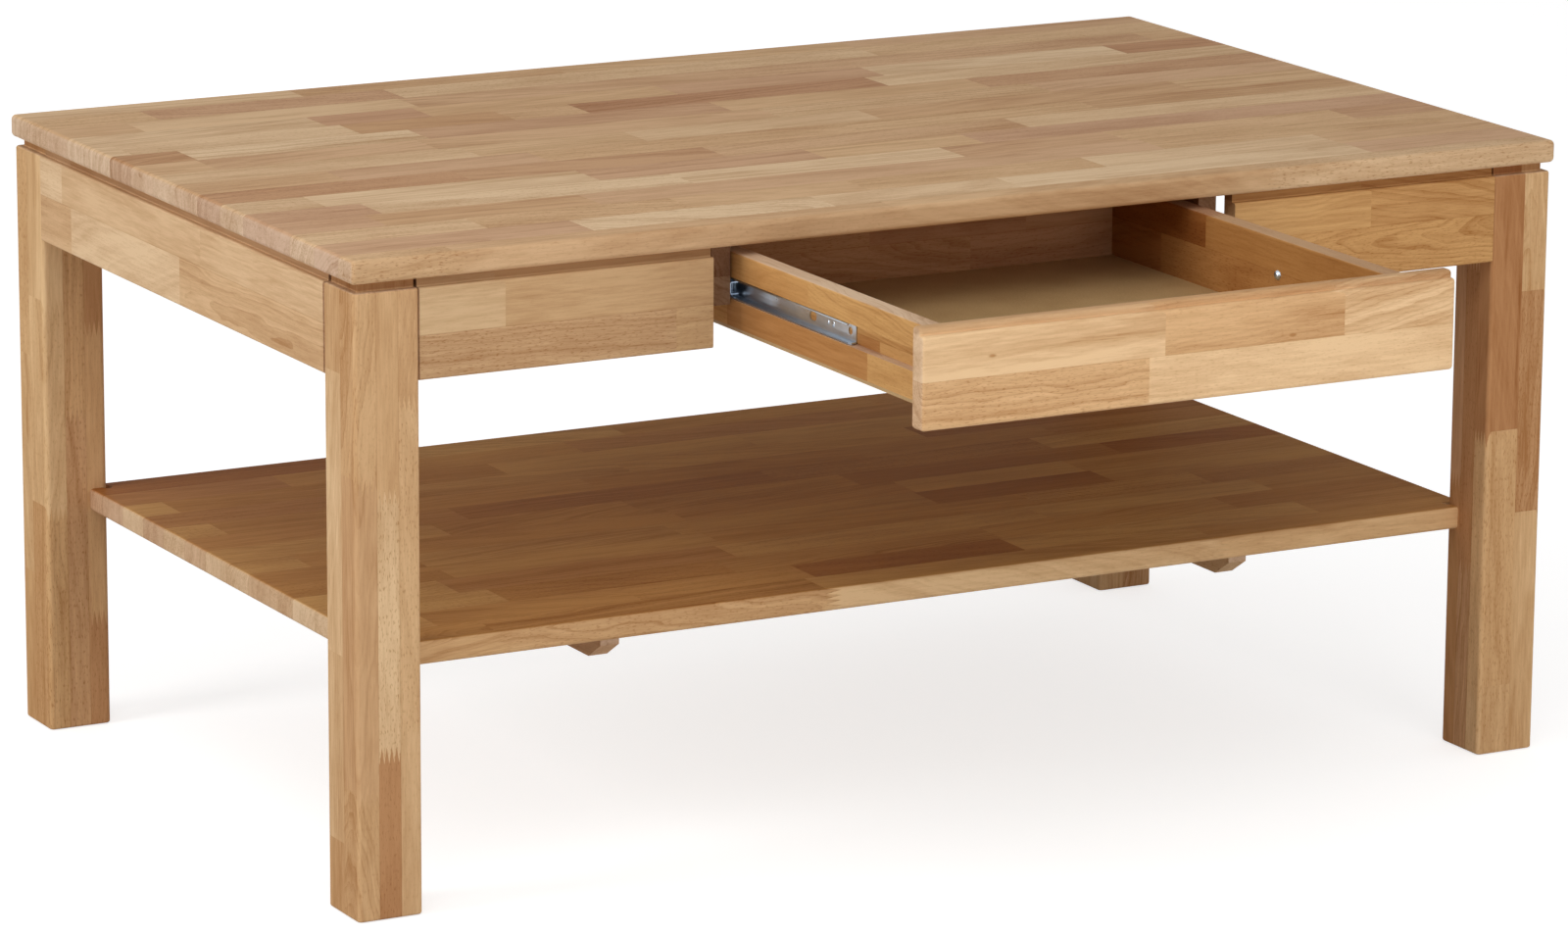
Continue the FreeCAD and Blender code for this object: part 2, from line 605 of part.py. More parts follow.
def drawer_member(sx, holes):
    """The outer channel in the groove of the drawer's side, with its row of holes at both ends."""
    body = channel(sx, SLIDE_THICKNESS, BOX_RAIL_GAP, DRAWER_MEMBER_HEIGHT, SLIDE_SHEET,
                   SLIDE_BEND_RADIUS, DRAWER_MEMBER_FRONT, DRAWER_MEMBER_BACK)
    start = Vector(slide_x(sx, SLIDE_THICKNESS - SLIDE_SHEET - CUT_OVERRUN), 0, SLIDE_Z)
    depth = SLIDE_SHEET + 2 * CUT_OVERRUN
    for end, inward in ((DRAWER_MEMBER_FRONT, 1), (DRAWER_MEMBER_BACK, -1)):
        base = start + Y_AXIS * (end + inward * MEMBER_HOLE_INSET)
        round_hole = cylinder(MEMBER_HOLE_DIAMETER / 2, depth, base, X_AXIS * -sx)
        body = body.cut(round_hole).cut(member_slot(sx, end + inward * MEMBER_SLOT_INSET))
    return bored(body, holes)


def side_bolts():
    """A bolt from inside the drawer, through each side, into the front of the outer channel."""
    length = BOX_SIDE_THICKNESS - GROOVE_DEPTH + SLIDE_SHEET
    y = DRAWER_MEMBER_FRONT + SIDE_BOLT_INSET
    return [with_hole(side_bolt, Vector(sx * BOX_INNER_X, y, SLIDE_Z), X_AXIS * sx, length)
            for sx in SIDES.values()]


def member_screws():
    """A flat screw through the back of each outer channel into the drawer's side."""
    pairs = []
    y = DRAWER_MEMBER_BACK - SIDE_BOLT_INSET
    length = SLIDE_SHEET + MEMBER_SCREW_BITE
    for sx in SIDES.values():
        seat = Vector(slide_x(sx, SLIDE_THICKNESS - SLIDE_SHEET), y, SLIDE_Z)
        pairs.append(with_hole(flat_screw, seat, X_AXIS * -sx, MEMBER_SCREW_DIAMETER,
                               MEMBER_SCREW_HEAD_DIAMETER, length))
    return pairs


def ball_places(sx):
    """The middles of the balls in one slide, above and below the inner channel."""
    count = int(CAGE_LENGTH // BALL_PITCH)
    u = (CAGE_RAIL_GAP + CABINET_MEMBER_DEPTH) / 2
    steps = [(k - (count - 1) / 2) * BALL_PITCH for k in range(count)]
    return [Vector(slide_x(sx, u), CAGE_MIDDLE + step, SLIDE_Z + side * RACEWAY_Z)
            for side in (-1, 1) for step in steps]


def slide_balls(sx):
    """The steel balls of one slide."""
    radius = RACEWAY_GAP / 2 - BALL_CLEARANCE
    return Part.makeCompound([Part.makeSphere(radius, place) for place in ball_places(sx)])


def ball_cage(sx):
    """The bent strip that keeps the balls apart, between the two channels."""
    web_u = (CABINET_MEMBER_DEPTH + SLIDE_THICKNESS - SLIDE_SHEET + CAGE_SHEET) / 2
    height = 2 * RACEWAY_Z + CAGE_SHEET
    body = channel(sx, web_u, CAGE_RAIL_GAP, height, CAGE_SHEET, CAGE_SHEET / 2,
                   CAGE_MIDDLE - CAGE_LENGTH / 2, CAGE_MIDDLE + CAGE_LENGTH / 2)
    radius = RACEWAY_GAP / 2 - BALL_CLEARANCE + CAGE_POCKET_GAP
    for place in ball_places(sx):
        base = place - Z_AXIS * RACEWAY_GAP / 2
        body = body.cut(cylinder(radius, RACEWAY_GAP, base, Z_AXIS))
    return body


# Drawer

def drawer_front(holes):
    """The drawer front, rounded all over, with a set-back lip along its top."""
    half = DRAWER_OPENING / 2 - FRONT_SIDE_GAP
    face = -LEG_Y - DRAWER_TRAVEL
    board = box(-half, half, face, BOX_FRONT, APRON_BOTTOM, SHADOW_Z)
    board = board.makeFillet(FRONT_EDGE_RADIUS, board.Edges)
    lip_foot = SHADOW_Z - 2 * FRONT_EDGE_RADIUS
    lip = box(-half, half, face + APRON_REBATE, BOX_FRONT, lip_foot, UNDERSIDE - FRONT_TOP_GAP)
    lip = lip.makeFillet(FRONT_EDGE_RADIUS, edges_where(lip, lambda p: not near(p.z, lip_foot)))
    return bored(board.fuse(lip).removeSplitter(), holes)


def box_side(sx, holes):
    """A side of the drawer box, eased along its top and grooved along its outer face."""
    board = box(sx * BOX_INNER_X, sx * BOX_HALF_X, BOX_FRONT, BOX_BACK, BOX_BOTTOM, BOX_TOP)
    middle_y = (BOX_FRONT + BOX_BACK) / 2
    top_edges = edges_where(board, lambda p: near(p.z, BOX_TOP) and near(p.y, middle_y))
    board = board.makeFillet(BOX_EDGE_RADIUS, top_edges)
    groove = box(sx * (BOX_HALF_X - GROOVE_DEPTH), sx * (BOX_HALF_X + CUT_OVERRUN),
                 BOX_FRONT - CUT_OVERRUN, BOX_BACK + CUT_OVERRUN,
                 SLIDE_Z - GROOVE_HEIGHT / 2, SLIDE_Z + GROOVE_HEIGHT / 2)
    return bored(board.cut(groove), holes)


def box_back(holes):
    """The back of the drawer box, between its sides."""
    board = box(-BOX_INNER_X, BOX_INNER_X, BOX_BACK - BOX_SIDE_THICKNESS, BOX_BACK, BOX_BOTTOM, BOX_TOP)
    top_edges = edges_where(board, lambda p: near(p.z, BOX_TOP) and near(p.x, 0))
    return bored(board.makeFillet(BOX_EDGE_RADIUS, top_edges), holes)


def box_bottom(holes):
    """The thin panel fixed under the drawer box."""
    panel_bottom = BOX_BOTTOM - BOX_BOTTOM_THICKNESS
    panel = box(-BOX_HALF_X, BOX_HALF_X, BOX_FRONT, BOX_BACK, panel_bottom, BOX_BOTTOM)
    return bored(panel, holes)


def front_dowels():
    """Dowels from the drawer sides into the drawer front."""
    pairs = []
    y = BOX_FRONT + BOX_DOWEL_LENGTH / 2 - BOX_DOWEL_FRONT_DEPTH
    for sx in SIDES.values():
        for share in BOX_DOWEL_SHARES:
            x = sx * (BOX_INNER_X + BOX_SIDE_THICKNESS / 2)
            middle = Vector(x, y, BOX_BOTTOM + BOX_SIDE_HEIGHT * share)
            pairs.append(with_hole(dowel, middle, Y_AXIS, BOX_DOWEL_DIAMETER, BOX_DOWEL_LENGTH))
    return pairs


def back_screws():
    """Screws through the drawer sides into the ends of its back."""
    pairs = []
    for sx in SIDES.values():
        for share in BACK_SCREW_SHARES:
            z = BOX_BOTTOM + BOX_SIDE_HEIGHT * share
            seat = Vector(sx * BOX_HALF_X, BOX_BACK - BOX_SIDE_THICKNESS / 2, z)
            pairs.append(with_hole(flat_screw, seat, X_AXIS * -sx, BACK_SCREW_DIAMETER,
                                   BACK_SCREW_HEAD_DIAMETER, BACK_SCREW_LENGTH))
    return pairs


def bottom_screws():
    """Small screws up through the panel into the sides and the back."""
    side_x = BOX_INNER_X + BOX_SIDE_THICKNESS / 2
    places = [(sx * side_x, BOX_FRONT + BOX_LENGTH * share)
              for sx in SIDES.values() for share in BOTTOM_SCREW_SIDE_SHARES]
    back_y = BOX_BACK - BOX_SIDE_THICKNESS / 2
    places += [(BOX_INNER_X * share, back_y) for share in BOTTOM_SCREW_BACK_SHARES]
    bottom = BOX_BOTTOM - BOX_BOTTOM_THICKNESS
    length = BOX_BOTTOM_THICKNESS + BOTTOM_SCREW_BITE
    return [with_hole(pan_screw, Vector(x, y, bottom), Z_AXIS, BOTTOM_SCREW_DIAMETER,
                      BOTTOM_SCREW_HEAD_DIAMETER, BOTTOM_SCREW_HEAD_HEIGHT, length) for x, y in places]


# Assembly

def save_frame():
    """Top, legs, aprons, corner blocks and what holds them together."""
    dowels = apron_dowels()
    pins = shelf_dowels()
    blocks = block_screws()
    rails = rail_screws()
    places = bracket_places()
    angles = bracket_screws(places)
    corners = [(end, side, sx, sy) for end, sy in ENDS.items() for side, sx in SIDES.items()]
    bolts = [with_hole(hanger_bolt, sx, sy) for end, side, sx, sy in corners]
    save("table_top", table_top(holes_of(blocks, rails, angles)))
    for end, side, sx, sy in corners:
        save("leg_%s_%s" % (end, side), leg(sx, sy, holes_of(dowels, pins, bolts)))
        save("corner_block_%s_%s" % (end, side), corner_block(sx, sy, holes_of(blocks, bolts)))
    for name, board in aprons().items():
        save(name, bored(board, holes_of(dowels, angles)))
    rings = [(sx, sy, hole) for (end, side, sx, sy), (bolt, hole) in zip(corners, bolts)]
    save("corner_washers", Part.makeCompound([washer(*ring) for ring in rings]))
    save("corner_nuts", Part.makeCompound([nut(*ring) for ring in rings]))
    save("hanger_bolts", solids_of(bolts))
    save("apron_dowels", solids_of(dowels))
    save("corner_block_screws", solids_of(blocks))
    save("top_brackets", Part.makeCompound([bracket(*place, holes_of(angles)) for place in places]))
    save("top_bracket_screws", solids_of(angles))


def save_shelf():
    """The shelf with its battens, dowels and screws."""
    pins = shelf_dowels()
    screws = batten_screws()
    save("shelf", shelf(holes_of(pins, screws)))
    for side, sx in SIDES.items():
        save("shelf_batten_" + side, batten(sx, holes_of(screws)))
    save("shelf_dowels", solids_of(pins))
    save("batten_screws", solids_of(screws))


def save_rails_and_slides():
    """The rails under the top and the parts of the slides that stay with the table or between."""
    hangers = rail_screws()
    screws = cabinet_screws()
    for side, sx in SIDES.items():
        save("drawer_rail_" + side, rail(sx, holes_of(hangers, screws)))
        save("slide_cabinet_member_" + side, cabinet_member(sx, holes_of(screws)))
        save("ball_cage_" + side, ball_cage(sx))
        save("slide_balls_" + side, slide_balls(sx))
    save("rail_screws", solids_of(hangers))
    save("cabinet_member_screws", solids_of(screws))


def save_drawer():
    """The drawer with its half of the slides."""
    dowels = front_dowels()
    backs = back_screws()
    bottoms = bottom_screws()
    bolts = side_bolts()
    screws = member_screws()
    save("drawer_front", drawer_front(holes_of(dowels)))
    for side, sx in SIDES.items():
        save("drawer_side_" + side, box_side(sx, holes_of(dowels, backs, bottoms, bolts, screws)))
        save("slide_drawer_member_" + side, drawer_member(sx, holes_of(bolts, screws)))
    save("drawer_back", box_back(holes_of(backs, bottoms)))
    save("drawer_bottom", box_bottom(holes_of(bottoms)))
    save("drawer_front_dowels", solids_of(dowels))
    save("drawer_back_screws", solids_of(backs))
    save("drawer_bottom_screws", solids_of(bottoms))
    save("drawer_member_bolts", solids_of(bolts))
    save("drawer_member_screws", solids_of(screws))


os.makedirs("parts", exist_ok=True)
save_frame()
save_shelf()
save_rails_and_slides()
save_drawer()
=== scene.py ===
import bpy
import math
from dataclasses import dataclass
from mathutils import Matrix, Vector


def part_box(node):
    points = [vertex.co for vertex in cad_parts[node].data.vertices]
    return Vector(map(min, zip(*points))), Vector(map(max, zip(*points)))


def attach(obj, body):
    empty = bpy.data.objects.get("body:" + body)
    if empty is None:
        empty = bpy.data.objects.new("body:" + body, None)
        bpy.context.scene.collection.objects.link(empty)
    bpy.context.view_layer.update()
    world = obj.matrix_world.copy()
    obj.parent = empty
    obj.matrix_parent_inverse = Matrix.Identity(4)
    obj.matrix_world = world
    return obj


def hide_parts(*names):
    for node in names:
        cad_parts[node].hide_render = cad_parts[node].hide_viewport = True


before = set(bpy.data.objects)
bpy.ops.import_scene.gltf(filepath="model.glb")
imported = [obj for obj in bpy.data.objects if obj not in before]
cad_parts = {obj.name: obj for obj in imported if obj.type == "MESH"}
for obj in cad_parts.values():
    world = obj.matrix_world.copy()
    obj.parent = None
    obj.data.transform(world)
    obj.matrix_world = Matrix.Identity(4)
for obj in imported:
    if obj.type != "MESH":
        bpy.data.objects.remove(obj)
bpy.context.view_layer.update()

bl_info = {
    "name": "Beech coffee table",
    "version": (1, 0, 0),
    "blender": (4, 5, 0),
    "location": "3D View > Sidebar > Coffee table",
    "description": "Finishes a stave-glued beech coffee table with a drawer on ball slides",
    "category": "Object",
}

X, Y, Z = 0, 1, 2
MILLIMETRE = 0.001


def from_srgb(red, green, blue):
    """A colour given in screen steps of 0 to 255, as linear light."""
    steps = [step / 255 for step in (red, green, blue)]
    return tuple(s / 12.92 if s <= 0.04045 else ((s + 0.055) / 1.055) ** 2.4 for s in steps)


# How the staves of each board lie

@dataclass
class Board:
    """The staves of one board, in millimetres from its lowest corner.

    Fibres run along the grain axis. Rows are counted along the across axis: the first seam, then one
    every row_width. A leg has layers too, counted along the third axis. joints holds one tuple of
    joint places for each row, layer by layer. tones holds the two numbers that draw its staves' tones,
    and shade the palest and the darkest that they come to. tint multiplies the colour; on the shelf, the
    drawer rails and the drawer's right side and back it is painted shade. edge_tint takes its place on
    all but the upper face. upper_face_lift says how far the upward faces are painted paler and greyer,
    painted light from above, and recess how far the step under the table top is painted darker, painted
    shade under the top's overhang.
    """
    grain: int
    across: int
    first_seam: float
    row_width: float
    joints: tuple
    tones: tuple
    shade: tuple = (0.1, 0.85)
    layer: float = 0
    seam_step: float = 0
    knots: tuple = ()
    turn: float = 0
    tint: tuple = (1, 1, 1)
    edge_tint: tuple = ()
    upper_face_lift: float = 0
    recess: float = 0


# Wider than any board, for boards with a single seam or none
WIDE = 1000.0

# Where staves meet end to end, row by row from the front
TOP_ROWS = (
    (90, 456, 786), (214, 418, 581, 898), (148, 319, 472, 681, 896), (86, 264, 760),
    (102, 364, 603, 752, 966), (75, 305, 503, 645), (218, 437, 711), (132, 305, 582, 803),
    (266, 411, 623, 917), (61, 249, 554, 807), (63, 262, 532, 772), (26, 222, 358, 425, 700),
    (212, 305, 527, 720, 955), (73, 313, 605, 1011), (104, 320, 762), (249, 488, 762))
SHELF_ROWS = (
    (102, 382, 732), (70, 241, 392, 579, 852), (150, 345, 582, 801), (127, 368, 649, 860),
    (144, 378, 666, 829), (140, 363, 594, 760), (60, 388, 597, 757), (200, 370, 569, 817),
    (235, 517, 774), (45, 374, 620, 804), (180, 424, 700), (40, 330, 560, 800), (155, 420, 690),
    (260, 480, 724))

LEG_TINT = (0.99, 0.95, 0.88)
# The shelf's upper face is painted darker: painted shade under the table top. Its edges keep nearly their
# own colour.
SHELF_SHADE_TINT, SHELF_EDGE_TINT = (0.78, 0.60, 0.34), (0.99, 0.95, 0.86)
# The drawer rails are painted darker: painted shade under the table top.
RAIL_SHADE_TINT = (0.42, 0.32, 0.26)
LEG_LAYER = 17.7
# How dark the step under the table top is painted on legs, aprons and drawer front: painted shade.
LEG_RECESS_SHADE, APRON_RECESS_SHADE, DRAWER_RECESS_SHADE = 0.8, 0.65, 0.35


def leg(across, first_seam, joints, tones, shade, seam_step, tint=LEG_TINT):
    """A leg of three layers with two rows each, the middle layer's seam stepped to one side."""
    return Board(Z, across, first_seam, WIDE, joints, tones, shade, layer=LEG_LAYER, seam_step=seam_step,
                 tint=tint, recess=LEG_RECESS_SHADE)


def single(grain, across, tones, turn=0):
    """A piece cut from a single stave."""
    return Board(grain, across, WIDE, WIDE, ((),), tones, turn=turn)


BOARDS = {
    "table_top": Board(X, Y, 22.5, 42.3, TOP_ROWS, (1.25, 0.897), (0.05, 0.90)),
    "shelf": Board(X, Y, 36, 41, SHELF_ROWS, (1.3, 0.29), (0.05, 0.95), tint=SHELF_SHADE_TINT,
                   edge_tint=SHELF_EDGE_TINT),
    "drawer_front": Board(X, Z, 35.5, WIDE, ((181,), (194, 347)), (3.5, 0.306), (0.0, 0.48),
                          tint=(1.05, 1.0, 0.92), knots=((57, 50), (309, 40)), recess=DRAWER_RECESS_SHADE),
    "front_apron_left": Board(X, Z, 33.5, WIDE, ((204,), (63,)), (5.7, 0.523), (0.22, 0.62),
                              tint=(0.90, 0.88, 0.83), recess=APRON_RECESS_SHADE),
    "front_apron_right": Board(X, Z, 39, WIDE, ((), (119,)), (5.8, 0.607), (0.30, 0.60),
                               tint=(0.89, 0.75, 0.53), recess=APRON_RECESS_SHADE),
    "side_apron_left": Board(Y, Z, 38, WIDE, ((256, 470), (216, 488)), (4.2, 0.78), (0.12, 0.50),
                             recess=APRON_RECESS_SHADE),
    "side_apron_right": Board(Y, Z, 36, WIDE, ((150, 402), (290,)), (9.4, 0.44), recess=APRON_RECESS_SHADE),
    "back_apron": Board(X, Z, 40, WIDE, ((210, 520, 760), (120, 390, 655)), (7.7, 0.59),
                        recess=APRON_RECESS_SHADE),
    # The drawer box's upward faces are painted paler and greyer: painted light from above.
    "drawer_side_left": Board(Y, Z, 29, WIDE, ((96, 312), (186,)), (4.5, 0.891), (0.20, 0.90),
                              tint=(0.86, 0.71, 0.46), upper_face_lift=0.9),
    # The tints of the drawer's right side and back are painted shade inside the drawer.
    "drawer_side_right": Board(Y, Z, 31, WIDE, ((140, 330), (265,)), (7.3, 0.587), (0.25, 1.0),
                               tint=(0.62, 0.45, 0.25), upper_face_lift=0.45),
    "drawer_back": Board(X, Z, 27, WIDE, ((90, 240), (150, 290)), (4.1, 0.501), (0.50, 0.70),
                         tint=(0.62, 0.49, 0.41), upper_face_lift=0.45),
    "drawer_rail_left": Board(Y, Z, 22, WIDE, ((230,), (410,)), (3.1, 0.73), tint=RAIL_SHADE_TINT),
    "drawer_rail_right": Board(Y, Z, 26, WIDE, ((170, 480), (320,)), (2.8, 0.49), tint=RAIL_SHADE_TINT),
    "shelf_batten_left": Board(Y, Z, WIDE, WIDE, ((270,),), (6.2, 0.57)),
    "shelf_batten_right": Board(Y, Z, WIDE, WIDE, ((190, 400),), (1.4, 0.69)),
    "leg_front_left": leg(Y, 24, ((93, 330), (49, 192, 405), (126, 321), (200,), (143, 390), (250,)),
                          (4.05, 0.696), (0.0, 0.95), 5),
    "leg_back_left": leg(Y, 29, ((180, 350), (120, 300), (260,), (150, 380), (90, 330), (210,)),
                         (5.7, 0.692), (0.05, 0.90), -5, (1.0, 0.94, 0.82)),
    "leg_front_right": leg(X, 29, ((50, 261), (192, 373), (150, 400), (300,), (220,), (110, 350)),
                           (5.65, 0.256), (0.0, 0.95), -5, (1.02, 0.95, 0.83)),
    "leg_back_right": leg(X, 24, ((140, 340), (230,), (80, 310), (190, 420), (270,), (120, 390)),
                          (9.1, 0.45), (0.05, 0.90), 5),
    "corner_block_front_left": single(X, Y, (2.2, 0.52), 45),
    "corner_block_front_right": single(X, Y, (4.9, 0.66), -45),
    "corner_block_back_left": single(X, Y, (7.4, 0.36), -45),
    "corner_block_back_right": single(X, Y, (8.5, 0.71), 45),
    "apron_dowels": single(X, Y, (1.1, 0.5)),
    "shelf_dowels": single(X, Y, (1.3, 0.5)),
    "drawer_front_dowels": single(Y, X, (1.7, 0.5)),
}
RECESS_FLOOR = 0.475   # the leg's shoulder, above which the step is painted darker as painted shade

# Noise in beech: changes for each metre along and across the grain, detail, roughness
WOOD_NOISE = {
    "cloud": (6, 20, 3.0, 0.5),
    "streak": (6, 120, 3.0, 0.6),
    "grain": (34, 430, 3.0, 0.6),
    "fibre": (45, 1300, 2.0, 0.5),
    "dash": (230, 1000, 1.0, 0.5),
}
BAND_NOISE = (150, 3.0, 0.6)   # changes for each metre of radius, detail, roughness

# What sets one stave apart from the next
STAVE_DRIFT, FIGURE_DRAW, WARM_STEP = 3.17, 0.37, 1.618
HONEY_TONES, ROSY_TONES, BROWN_TONES = (0.0, 0.45), (0.4, 0.8), (0.72, 1.05)
PITH_SPREAD, PITH_DEPTH, PITH_NEAREST, TAPER = 0.11, 0.05, 0.004, 1.2
RING_SWAY, RING_RIPPLE, RING_JITTER = 0.03, 0.002, 1.2

# Where each mark sets in: values of noise, shares of staves or metres from a place
LATE_STAVES, LATE_SHAPE = (0.35, 1.0), 3
HEART_STREAKS, HEART_STAVES = (0.62, 0.76), (0.5, 0.9)
FLECK_DASHES, FLECK_LEAST = (0.56, 0.70), 0.15
FLAME_STAVES, FLAME_LEAST = 1.2, 0.5
KNOT_BAND, KNOT_STRETCH = (0.0018, 0.0004), 0.4
# Of these bands, the second marks where the shelf's painted shade on its upper face ends, the third where
# the painted shade in the step under the table top sets in.
SEAM_BAND, FACE_BAND, RECESS_SHADE_BAND = (0.0006, 0.0001), (0.0008, 0.0002), (-0.0002, 0.0015)
SQUARE_ON = (0.6, 0.9)   # how far a face looks along an axis

# How strongly each mark darkens, greys, lifts or dulls the wood
STREAK_DARK, GRAIN_DARK, CLOUD_DARK, FIBRE_DARK, ALL_DARK = 0.6, 0.8, 1.2, 0.4, 0.2
LATE_DARK, HEART_DARK, FLECK_DARK, SEAM_DARK, KNOT_DARK = 0.35, 0.5, 0.6, 0.25, 0.7
# The second tint here darkens the step under the table top: painted shade.
DEEP_STAIN, RECESS_SHADE_TINT = (0.60, 0.46, 0.34), (0.42, 0.27, 0.17)
# The second share here is how far upward faces go towards the end-grain colour: painted light from above.
END_GREY, UPPER_FACE_GREY = 0.5, 0.5
FIBRE_LIFT, GRAIN_LIFT, FLECK_LIFT, LATE_LIFT, SEAM_LIFT = 0.4, 0.3, 0.6, 0.3, 0.8
WOOD_BUMP = (0.0004, 0.22)
ROUGH_SHIFT, FIBRE_ROUGH, CLOUD_ROUGH = 0.06, 0.08, 0.06
OIL_SHEEN = 0.03

# Drawer bottom: changes of its noise for each metre, where the dark sets in, its shade
HARDBOARD_FINE, HARDBOARD_BROAD = 700, 30
HARDBOARD_FINE_SHARE, HARDBOARD_DARK = 0.6, (0.35, 0.75)
HARDBOARD_SHADE, HARDBOARD_BUMP = (0.8, 0.75, 0.68), (0.0002, 0.12)
HARDBOARD_ROUGH, HARDBOARD_MOTTLE = 0.5, 0.12

# Metal: noise by its changes for each metre across and along Y and its detail, roughness with scratches
DRAWN_LINES, PLATING = (2500, 40, 2.0), (160, 60, 3.0)
PLATING_DARK, PLATING_SHADE, PLATING_ROUGH = (0.35, 0.7), 0.86, 0.10
METAL_BUMP = (0.0001, 0.08)
ZINC_ROUGH, BALL_ROUGH = (0.20, 0.10), (0.08, 0.03)

STEEL_NODES = (
    "corner_washers", "corner_nuts", "hanger_bolts", "corner_block_screws", "top_brackets",
    "top_bracket_screws", "rail_screws", "batten_screws", "cabinet_member_screws", "drawer_back_screws",
    "drawer_bottom_screws", "drawer_member_bolts", "drawer_member_screws", "slide_cabinet_member_left",
    "slide_cabinet_member_right", "slide_drawer_member_left", "slide_drawer_member_right",
    "ball_cage_left", "ball_cage_right")
BALL_NODES = ("slide_balls_left", "slide_balls_right")


# Soft lamps round the table: power in watts, size, place
LAMPS = {
    "left_softbox": (42.0, 1.2, (-3.4, 0.1, 1.4)),
    "front_softbox": (21.0, 1.2, (0.2, -2.6, 0.6)),
    "right_softbox": (3.0, 1.2, (3.4, -0.9, 0.6)),
    "back_softbox": (8.0, 1.2, (0.6, 4.2, 0.6)),
    "overhead_softbox": (13.0, 1.6, (-1.0, -1.2, 2.2)),
}
LAMP_TARGET = (0, 0, 0.3)
FLOOR_SIZE, FLOOR_DROP, FLOOR_ROUGH = 60, 0.0005, 0.9
SENSOR_WIDTH = 36


# Settings

class WoodSettings(bpy.types.PropertyGroup):
    """The beech and how its staves are joined."""
    pale: bpy.props.FloatVectorProperty(
        name="Pale stave", description="The palest sapwood", subtype="COLOR",
        default=from_srgb(236, 205, 166))
    honey: bpy.props.FloatVectorProperty(
        name="Honey stave", description="The usual tone", subtype="COLOR",
        default=from_srgb(222, 184, 141))
    rosy: bpy.props.FloatVectorProperty(
        name="Rosy stave", description="Steamed, pinkish staves", subtype="COLOR",
        default=from_srgb(211, 169, 136))
    brown: bpy.props.FloatVectorProperty(
        name="Heart stave", description="The darkest heartwood", subtype="COLOR",
        default=from_srgb(186, 134, 90))
    end: bpy.props.FloatVectorProperty(
        name="End grain", description="Sawn ends, greyer than the faces", subtype="COLOR",
        default=from_srgb(214, 190, 170))
    ring: bpy.props.FloatProperty(
        name="Ring width", description="From one year ring to the next", subtype="DISTANCE", unit="LENGTH",
        default=0.0036)
    finger_length: bpy.props.FloatProperty(
        name="Finger length", description="Length of the fingers where staves meet", subtype="DISTANCE",
        unit="LENGTH", default=0.013)
    finger_pitch: bpy.props.FloatProperty(
        name="Finger pitch", description="From one finger to the next", subtype="DISTANCE", unit="LENGTH",
        default=0.004)
    roughness: bpy.props.FloatProperty(
        name="Roughness", description="How matt the oiled wood is", subtype="FACTOR", default=0.62)


class MetalSettings(bpy.types.PropertyGroup):
    """The slides, screws and other metal, and the drawer's thin bottom."""
    zinc: bpy.props.FloatVectorProperty(
        name="Zinc", description="Zinc plating on the steel", subtype="COLOR",
        default=from_srgb(202, 213, 225))
    nickel: bpy.props.FloatVectorProperty(
        name="Balls", description="Polished bearing steel", subtype="COLOR",
        default=from_srgb(222, 223, 226))
    board: bpy.props.FloatVectorProperty(
        name="Drawer bottom", description="Smooth tan hardboard", subtype="COLOR",
        default=from_srgb(188, 154, 106))


class StageSettings(bpy.types.PropertyGroup):
    """Floor, light and camera."""
    floor: bpy.props.FloatVectorProperty(
        name="Floor", description="Colour of the floor", subtype="COLOR", default=(0.62, 0.62, 0.62))
    glow: bpy.props.FloatProperty(
        name="Floor glow", description="What the camera sees of the floor besides its lit colour",
        default=0.68)
    ambient: bpy.props.FloatProperty(
        name="Ambient", description="Strength of the even light from above", default=0.55)
    horizon: bpy.props.FloatProperty(
        name="Horizon", description="Share of the even light that is left at the horizon", subtype="FACTOR",
        default=0.2)
    lamps: bpy.props.FloatProperty(
        name="Lamps", description="Scales the power of all lamps", subtype="FACTOR", default=1.0)
    turn: bpy.props.FloatProperty(
        name="Camera turn", description="Degrees the camera stands round to the left", default=-28.459)
    height: bpy.props.FloatProperty(
        name="Camera height angle", description="Degrees the camera looks down", default=13.511)
    roll: bpy.props.FloatProperty(
        name="Camera roll", description="Degrees the picture leans", default=0.359)
    place: bpy.props.FloatVectorProperty(
        name="Camera place", description="Where the camera stands", subtype="TRANSLATION", unit="LENGTH",
        default=(-2.5571, -4.5773, 1.5130))
    lens: bpy.props.FloatProperty(
        name="Lens", description="Focal length for a sensor 36 mm wide", unit="CAMERA", default=157.41)


# Materials

class Field:
    """A number that changes over a surface. Arithmetic on it adds Math nodes to its finish."""

    def __init__(self, finish, socket):
        self.finish = finish
        self.socket = socket

    def __add__(self, other):
        return self.finish.math("ADD", self, other)

    def __radd__(self, other):
        return self.finish.math("ADD", other, self)

    def __sub__(self, other):
        return self.finish.math("SUBTRACT", self, other)

    def __rsub__(self, other):
        return self.finish.math("SUBTRACT", other, self)

    def __mul__(self, other):
        return self.finish.math("MULTIPLY", self, other)

    def __rmul__(self, other):
        return self.finish.math("MULTIPLY", other, self)

    def __truediv__(self, other):
        return self.finish.math("DIVIDE", self, other)

    def __pow__(self, other):
        return self.finish.math("POWER", self, other)

    def __gt__(self, other):
        return self.finish.math("GREATER_THAN", self, other)

    def __lt__(self, other):
        return self.finish.math("LESS_THAN", self, other)


